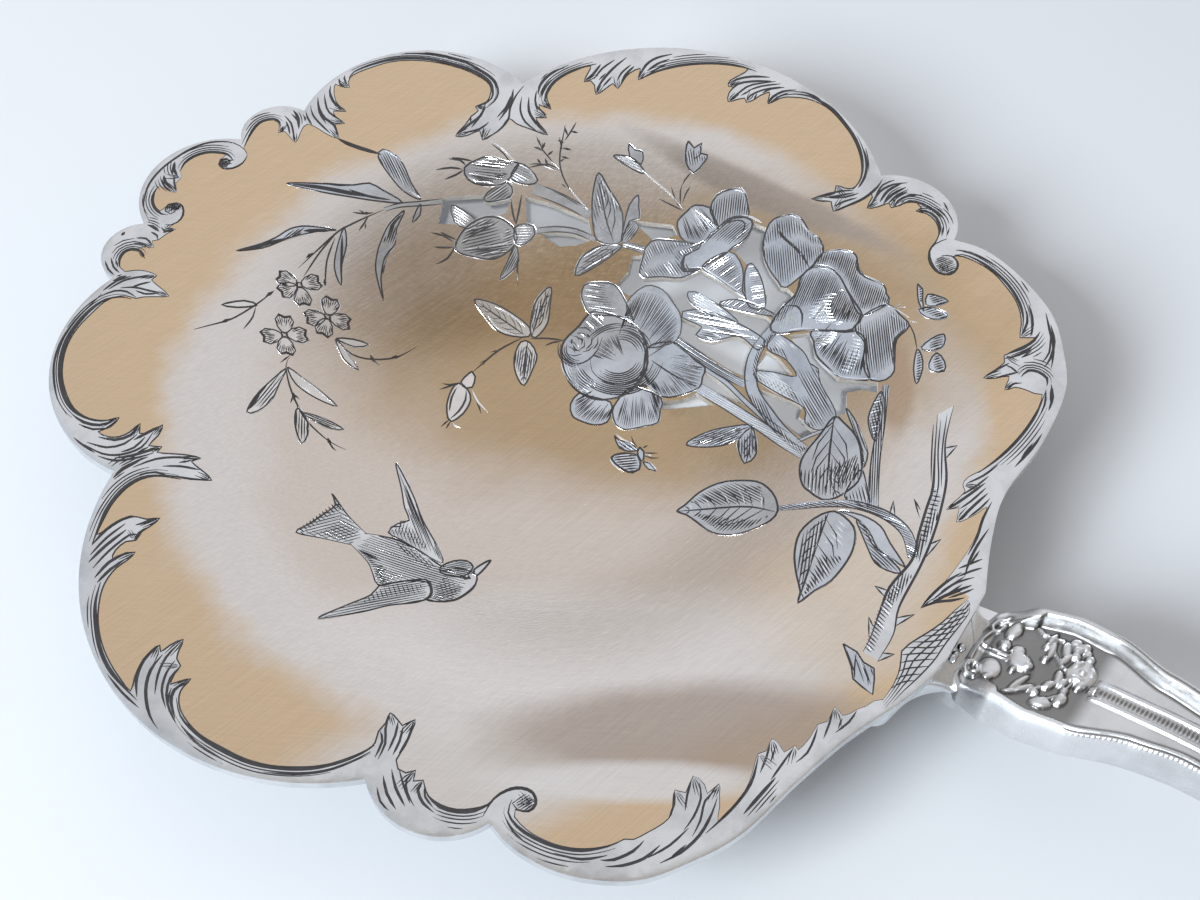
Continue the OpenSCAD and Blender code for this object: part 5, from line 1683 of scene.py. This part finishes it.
# handle front: stamped half shell with a bordered panel, rose cluster and milled rib
handle = {
    "noseX": 43.3,
    "rootX": 44.5,
    "tipX": 183.5,
    "wall": 0.8,
    "relief": 0.28,
    "square": 20,
    "innerSquare": 5,
    # side seam: distance past the root, height, slope
    "seam": [(0, 5.9, 0.37), (17.5, 10.674, 0.12), (44, 12.1, 0), (139, 1, -0.1)],
    "fineRows": (64, 0.085),  # up to, step
    "roseRows": (149, 171, 0.12),
    "plainRow": 0.7,
    "halfAcross": 44,
    "innerAcross": [-1, -0.9, -0.7, -0.4, 0, 0.4, 0.7, 0.9, 1],
    "width": [(43.3, 2.9), (43.7, 3.9), (44.5, 4.6), (47, 5.4), (50, 5.9), (53.5, 5.6), (58, 4.2), (62, 3.6),
              (74.5, 3.2), (104.5, 4.4), (135.5, 7), (159.5, 9.2), (171.5, 8.6), (177.5, 6.6), (181.5, 3.8),
              (183.5, 1.6)],
    "height": [(43.3, 2.2), (44, 2.7), (45, 2.9), (47, 2.9), (50, 2.7), (53.5, 2.4), (58, 2.2), (64.5, 2.1),
               (133.5, 1.8), (171.5, 1.5), (181.5, 1.2), (183.5, 0.9)],
    # border mouldings: distance in from the edge, breadth, height, tarnish, where they set in
    "border": [(0.7, 0.14, -0.12, 0.85, 52.6, 54), (1.14, 0.15, -0.08, 0.85, 44.6, 45.4),
               (1.75, 0.3, 0, 0.9, 43, 44)],
    "fieldFrom": (1.3, 1.9),
    "fieldDepth": 0.14,
    # where the sunk panel, the raised frame, the rope rib and the milled edge set in and fade
    "panel": (44, 44.6, 52.8, 54.4),
    "panelDepth": 0.16,
    "frame": (44.6, 47, 60, 76),
    "frameRise": 1.15,
    "frameEdge": (1, 1.75),
    "rope": (53.4, 53.8, 74, 80),
    "ropeHalf": 0.44,
    "ropeReach": 1.1,
    "ropePitch": 0.34,
    "roll": (0.78, 0.34, 0.26),  # distance from the middle, breadth, height
    "millFrom": 53.6,
    "mill": (0.42, 0.25, 0.03),  # distance in from the edge, breadth, height
    "millPitch": 0.38,
    "borderStep": (47, 47.4, 0.45),  # from, to, how much further in the border runs before it
    # darkening: tarnish in the field and rope, painted shade at the foot of the ornaments, cleared from their
    # tops
    "darkening": {"field": (0.08, 0.66), "rope": (0.95, 0.7), "foot": (0.85, 0.45, 0.7), "rubbed": (-0.16, 0.02)},
    "reliefBase": 0.16,
    "domeReach": 2.6,
    "lineReach": 1,
    # where the relief dies away: from the tip, from the nose, from the side edge
    "tipFade": (0.3, 3),
    "noseFade": (0, 0.5),
    "sideFade": (0, 0.3),
    # rounded beads, petals and leaves: x, y, length, breadth, turn, height
    "domes": [
        (45.8, 2.3, 0.85, 0.62, 75, 0.52), (45.7, 0.8, 0.58, 0.52, 0, 0.6),
        (46.9, 0.7, 0.62, 0.55, 0, 0.48), (47.5, -0.2, 1.15, 0.85, -20, 0.52),
        (48.2, -0.4, 0.55, 0.45, 20, 0.6), (47.3, -1.2, 0.32, 0.3, 0, 0.45),
        (45.7, -1.8, 1.1, 0.9, -50, 0.52), (45.9, -2.7, 0.5, 0.36, 10, 0.58),
        (48.8, 2.9, 0.8, 0.3, 80, 0.42), (48.7, 2.1, 0.38, 0.3, 0, 0.52), (49.2, 1.9, 1.1, 0.34, 96, 0.42),
        (49.1, 0.9, 0.38, 0.3, 0, 0.55), (50.2, 2.5, 0.9, 0.4, 112, 0.38), (50.5, 1.6, 0.75, 0.34, 72, 0.4),
        (50.6, 3.4, 0.52, 0.45, 0, 0.5), (51.4, 3.3, 0.52, 0.45, 0, 0.55), (51, 2.8, 0.5, 0.42, 0, 0.58),
        (51.1, 2.2, 0.46, 0.36, 0, 0.5), (52.2, 2.4, 0.45, 0.42, 0, 0.56), (51.8, 2.9, 0.4, 0.34, 0, 0.44),
        (52.2, 0.9, 1.25, 1.35, 0, 0.46), (51.6, 1.5, 0.7, 0.4, 60, 0.64), (52.8, 1.3, 0.7, 0.4, -60, 0.64),
        (52.1, 0.2, 0.75, 0.42, 0, 0.68), (52.2, 0.95, 0.4, 0.34, 0, 0.78),
        (52.6, -0.2, 0.6, 0.4, 60, 0.58), (50.8, -0.3, 0.85, 0.4, 108, 0.48),
        (51.3, -0.6, 0.6, 0.34, 80, 0.44), (51.7, -1.2, 0.4, 0.32, 0, 0.5),
        (51.8, -2.1, 0.7, 0.55, 80, 0.54), (50.4, -1.3, 0.62, 0.42, 60, 0.5),
        (49.7, -2.4, 0.5, 0.34, 0, 0.46), (48.3, -2.1, 1.2, 0.34, 66, 0.46),
        (48.8, -2.5, 1.05, 0.32, 48, 0.46), (48, -3.2, 0.8, 0.28, 30, 0.4),
        (50.6, -3.1, 0.95, 0.55, 15, 0.46), (53.6, -0.1, 0.4, 0.34, 0, 0.42), (160, 0, 0.7, 0.65, 0, 0.85),
    ],
    # matching rose near the broad end, ring by ring:
    # number, first bearing, distance out, length, breadth, height, turn against the bearing
    "endRose": (160, [(5, 0, 2.3, 1.75, 1.35, 0.52, 90), (4, 30, 1.05, 1.15, 0.72, 0.72, 90),
                        (2, 0, 5.6, 1.9, 0.9, 0.48, 6), (2, 40, 5.3, 1.8, 0.9, 0.46, 12),
                        (2, 140, 5.3, 1.8, 0.9, 0.46, -12), (2, 90, 4.5, 0.8, 0.7, 0.46, 0),
                        (2, 0, 8.4, 0.55, 0.5, 0.44, 0)]),
    # narrow raised lines: points, breadth, height
    "lines": [
        # upper and lower curled ends of the border
        ([(44.9, 3.2), (44.2, 2.7), (44, 2.1), (44.3, 1.7), (44.7, 2), (44.9, 2.5)], 0.2, 0.36),
        ([(44.9, -3.3), (44.2, -3.1), (43.8, -2.6), (43.9, -2), (44.4, -1.7), (44.9, -2), (45, -2.6),
          (44.6, -2.8)], 0.22, 0.4),
        ([(44.2, 1.5), (43.9, 0.6), (43.8, -0.5), (43.9, -1.6)], 0.16, 0.3),
        ([(44, 0.2), (45, 0), (46.6, -0.1)], 0.15, 0.3),
        ([(44, -0.3), (45.2, -0.4), (46.5, -0.5)], 0.14, 0.24),
        ([(47.4, 3.4), (48, 3.1), (48.8, 3), (49.6, 3.2)], 0.18, 0.34),
        ([(48.8, 2.7), (49.5, 1.8), (50.4, 1), (51.2, 0.6)], 0.15, 0.32),
        ([(47.7, -3.4), (48.6, -2.8), (49.8, -1.9), (51.2, -0.6)], 0.17, 0.34),
        ([(50.1, -2.8), (51, -2.4), (51.6, -1.6), (51.9, -0.3)], 0.15, 0.32),
    ],
}


centre, rings = handle["endRose"]
for count, bearing, out, length, breadth, lift, turn in rings:
    for k in range(count):
        way = bearing + 360 * k / count
        spot = (centre + out * math.cos(math.radians(way)), out * math.sin(math.radians(way)))
        handle["domes"].append((*spot, length, breadth, way + turn, lift))


def between(table, x):
    for (ax, av), (bx, bv) in zip(table, table[1:]):
        if x <= bx:
            t = max(0, (x - ax) / (bx - ax))
            t = t * t * (3 - 2 * t) * 0.5 + t * 0.5
            return av + (bv - av) * t
    return table[-1][1]


def ease(u, span, a, b, slopeA, slopeB):
    rest = 1 - u
    return (a * (1 + 2 * u) * rest ** 2 + slopeA * span * u * rest ** 2 + b * u * u * (3 - 2 * u)
            - slopeB * span * u * u * rest)


def seamHeight(x):
    stops = handle["seam"]
    far = x - handle["rootX"]
    if far <= 0:
        return stops[0][1]
    for (a, low, slopeA), (b, high, slopeB) in zip(stops, stops[1:]):
        if far < b or b == stops[-1][0]:
            return ease((far - a) / (b - a), b - a, low, high, slopeA, slopeB)


def ramp(value, low, high):
    t = min(1, max(0, (value - low) / (high - low)))
    return t * t * (3 - 2 * t)


def stretch(value, low, full, fade, end):
    return ramp(value, low, full) * (1 - ramp(value, fade, end))


def hump(distance, half):
    return max(0, 1 - (distance / half) ** 2)


def lineDistance(points, x, y):
    best = 9
    for (ax, ay), (bx, by) in zip(points, points[1:]):
        run = (bx - ax) ** 2 + (by - ay) ** 2
        t = min(1, max(0, ((x - ax) * (bx - ax) + (y - ay) * (by - ay)) / run))
        best = min(best, math.dist((x, y), (ax + (bx - ax) * t, ay + (by - ay) * t)))
    return best


def reliefAt(x, y, half, domes, lines):
    # height over the plain half round, and how dark the spot is: tarnish in the low places, painted shade
    # round the ornaments
    first, last, jog = handle["borderStep"]
    outerEdge = half - abs(y)
    edge = outerEdge - jog * (1 - ramp(x, first, last))
    panel = stretch(x, *handle["panel"])
    field = ramp(edge, *handle["fieldFrom"])
    height = -handle["fieldDepth"] * field - handle["panelDepth"] * field * panel
    height += handle["frameRise"] * stretch(x, *handle["frame"]) * (1 - ramp(edge, *handle["frameEdge"]))
    darkening = handle["darkening"]
    plain, extra = darkening["field"]
    dark = field * (plain + extra * panel)
    for inward, breadth, lift, depth, first, last in handle["border"]:
        share = hump(edge - inward, breadth) * ramp(x, first, last)
        height += lift * share
        dark = max(dark, depth * share)
    rope = stretch(x, *handle["rope"])
    if rope > 0 and abs(y) < handle["ropeReach"]:
        teeth = 0.5 + 0.5 * math.cos(x * math.tau / handle["ropePitch"])
        core = hump(abs(y), handle["ropeHalf"])
        height += rope * core * (0.06 + 0.18 * teeth)
        most, less = darkening["rope"]
        dark = max(dark, rope * core * (most - less * teeth))
        away, breadth, lift = handle["roll"]
        height += rope * lift * hump(abs(y) - away, breadth)
    if x > handle["millFrom"]:
        inward, breadth, lift = handle["mill"]
        wave = math.cos(x * math.tau / handle["millPitch"])
        height += lift * hump(outerEdge - inward, breadth) * wave * (1 - ramp(x, *handle["rope"][2:]))
    raised = 0
    gap = 9
    for dx, dy, length, breadth, turn, lift in domes:
        c = math.cos(math.radians(turn))
        s = math.sin(math.radians(turn))
        u = ((x - dx) * c + (y - dy) * s) / length
        v = ((y - dy) * c - (x - dx) * s) / breadth
        far = math.hypot(u, v)
        gap = min(gap, (far - 1) * min(length, breadth))
        if far < 1:
            raised = max(raised, lift * math.sqrt(1 - far * far))
    for points, breadth, lift in lines:
        far = lineDistance(points, x, y)
        gap = min(gap, far - breadth)
        if far < breadth:
            raised = max(raised, lift * math.sqrt(1 - (far / breadth) ** 2))
    # painted shade gathers round the foot of each ornament, and the darkening is cleared from its top
    most, reach, least = darkening["foot"]
    foot = (1 - ramp(gap, 0, reach)) * max(panel, least)
    dark = max(dark, most * foot) * ramp(gap, *darkening["rubbed"])
    return height + raised, dark


def buildHandle():
    rows = []
    x = handle["noseX"]
    fineTo, fineStep = handle["fineRows"]
    roseFrom, roseTo, roseStep = handle["roseRows"]
    while x < handle["tipX"] - 0.01:
        rows.append(x)
        x += fineStep if x < fineTo else roseStep if roseFrom < x < roseTo else handle["plainRow"]
    rows.append(handle["tipX"])
    n = handle["halfAcross"]
    across = [math.sin(math.pi / 2 * k / n) * 0.55 + 0.45 * k / n for k in range(-n, n + 1)]
    innerAcross = handle["innerAcross"]
    coords = []
    tarnishAndShade = []
    inner = []
    for x in rows:
        half = between(handle["width"], x)
        crown = between(handle["height"], x) - handle["relief"]
        low = seamHeight(x)
        domes = [d for d in handle["domes"] if abs(d[0] - x) < handle["domeReach"]]
        lines = []
        for line in handle["lines"]:
            run = [p[0] for p in line[0]]
            if min(run) - handle["lineReach"] < x < max(run) + handle["lineReach"]:
                lines.append(line)
        fade = ramp(handle["tipX"] - x, *handle["tipFade"]) * ramp(x - handle["noseX"], *handle["noseFade"])
        for v in across:
            y = v * half
            arch = (1 - abs(v) ** handle["square"]) ** 0.5
            height, dark = reliefAt(x, y, half, domes, lines)
            side = ramp(half - abs(y), *handle["sideFade"])
            height = (height + handle["reliefBase"]) * arch * fade * side
            coords.append((x, y, low + crown * arch + height))
            tarnishAndShade.append(dark * fade)
        innerHalf = max(0.2, half - handle["wall"])
        innerCrown = max(0.1, crown - handle["wall"])
        for v in innerAcross:
            rise = (1 - abs(v) ** handle["innerSquare"]) ** 0.5
            inner.append((x, v * innerHalf, low + innerCrown * rise))
    wide = len(across)
    narrow = len(innerAcross)
    start = len(coords)
    coords += inner
    tarnishAndShade += [0] * len(inner)
    faces = []
    for i in range(len(rows) - 1):
        for k in range(wide - 1):
            here = i * wide + k
            faces.append([here, here + wide, here + wide + 1, here + 1])
        for k in range(narrow - 1):
            here = start + i * narrow + k
            faces.append([here, here + 1, here + narrow + 1, here + narrow])
        here, into = i * wide, start + i * narrow
        faces.append([here, into, into + narrow, here + wide])
        here, into = here + wide - 1, into + narrow - 1
        faces.append([here, here + wide, into + narrow, into])
    for i, flip in ((0, False), (len(rows) - 1, True)):
        loop = [i * wide + k for k in range(wide)]
        loop += [start + i * narrow + k for k in range(narrow - 1, -1, -1)]
        faces.append(loop[::-1] if flip else loop)
    made = makePiece("handleFront", coords, faces, [stampedSilver], 80)
    # tarnish and painted shade, for the stamped silver
    made.data.attributes.new("tarnishAndShade", "FLOAT", "POINT").data.foreach_set("value", tarnishAndShade)
    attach(made, "root")
    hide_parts("handle_front_shell")


buildHandle()

# heel strap: the smooth strip that ties the bowl to the handle, with three small beads on it
strap = {
    "edge": [(44.5, 0), (44.4, 2.4), (43.6, 2.7), (42.5, 2.6), (41.3, 3.6), (40.5, 6), (39.5, 7.4), (38.4, 7),
             (37.4, 4), (36.9, 0), (37.2, -6), (38, -9.6), (38.9, -10.9), (40, -11.3), (40.9, -10.6),
             (41.2, -9.4), (41.5, -7.8), (42.2, -6.4), (43.3, -5.2), (44.4, -4.2)],
    "low": 7.4,
    "high": 9,
    "round": 0.5,
    "roundTurns": (0, 0.2, 0.4, 0.6, 0.8, 1),
    "slopeFrom": 42.2,
    "slope": 0.75,
    "beads": [(42.85, -1.2, 0.4), (42.75, -2.1, 0.34), (42.7, -2.6, 0.42)],
    "beadSink": 0.1,
    "beadSides": 20,
    "beadRings": 7,
}


def buildStrap():
    loop = smooth(strap["edge"], 0.4, True)
    count = len(loop)
    coords = []
    rings = []
    span = strap["high"] - strap["low"]
    for turn in strap["roundTurns"]:
        bend = turn * math.pi / 2
        inset = strap["round"] * (1 - math.cos(bend))
        rings.append((inset, strap["high"] - strap["round"] + strap["round"] * math.sin(bend)))
    rings.insert(0, (0, strap["low"]))
    for inset, z in rings:
        for x, y in insetLoop(loop, inset):
            fall = strap["slope"] * max(0, x - strap["slopeFrom"]) * (z - strap["low"]) / span
            coords.append((x, y, z - fall))
    faces = [list(range(count))[::-1], [len(coords) - count + i for i in range(count)]]
    for r in range(len(rings) - 1):
        for i in range(count):
            j = (i + 1) % count
            faces.append([r * count + i, r * count + j, (r + 1) * count + j, (r + 1) * count + i])
    sides = strap["beadSides"]
    ringCount = strap["beadRings"]
    for cx, cy, radius in strap["beads"]:
        foot = strap["high"] - strap["slope"] * max(0, cx - strap["slopeFrom"]) - strap["beadSink"]
        first = len(coords)
        for ring in range(ringCount):
            bend = math.pi / 2 * ring / ringCount
            for k in range(sides):
                a = math.tau * k / sides
                r = radius * math.cos(bend)
                coords.append((cx + r * math.cos(a), cy + r * math.sin(a), foot + radius * math.sin(bend)))
        peak = len(coords)
        coords.append((cx, cy, foot + radius))
        faces.append([first + k for k in range(sides - 1, -1, -1)])
        for low in range(first, peak - sides, sides):
            for k in range(sides):
                n = (k + 1) % sides
                faces.append([low + k, low + n, low + sides + n, low + sides + k])
        for k in range(sides):
            faces.append([peak - sides + k, peak - sides + (k + 1) % sides, peak])
    made = makePiece("heelStrap", coords, faces, [plateSilver], 50)
    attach(made, "root")
    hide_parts("heel_bracket")


buildStrap()

plainNodes = {
    "neck_bolster": handleSilver,
    "tang": tangSteel,
    "handle_back_shell": handleSilver,
    "handle_filler": fillerCement,
}
for name, material in plainNodes.items():
    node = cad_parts[name]
    node.data.materials.clear()
    node.data.materials.append(material)
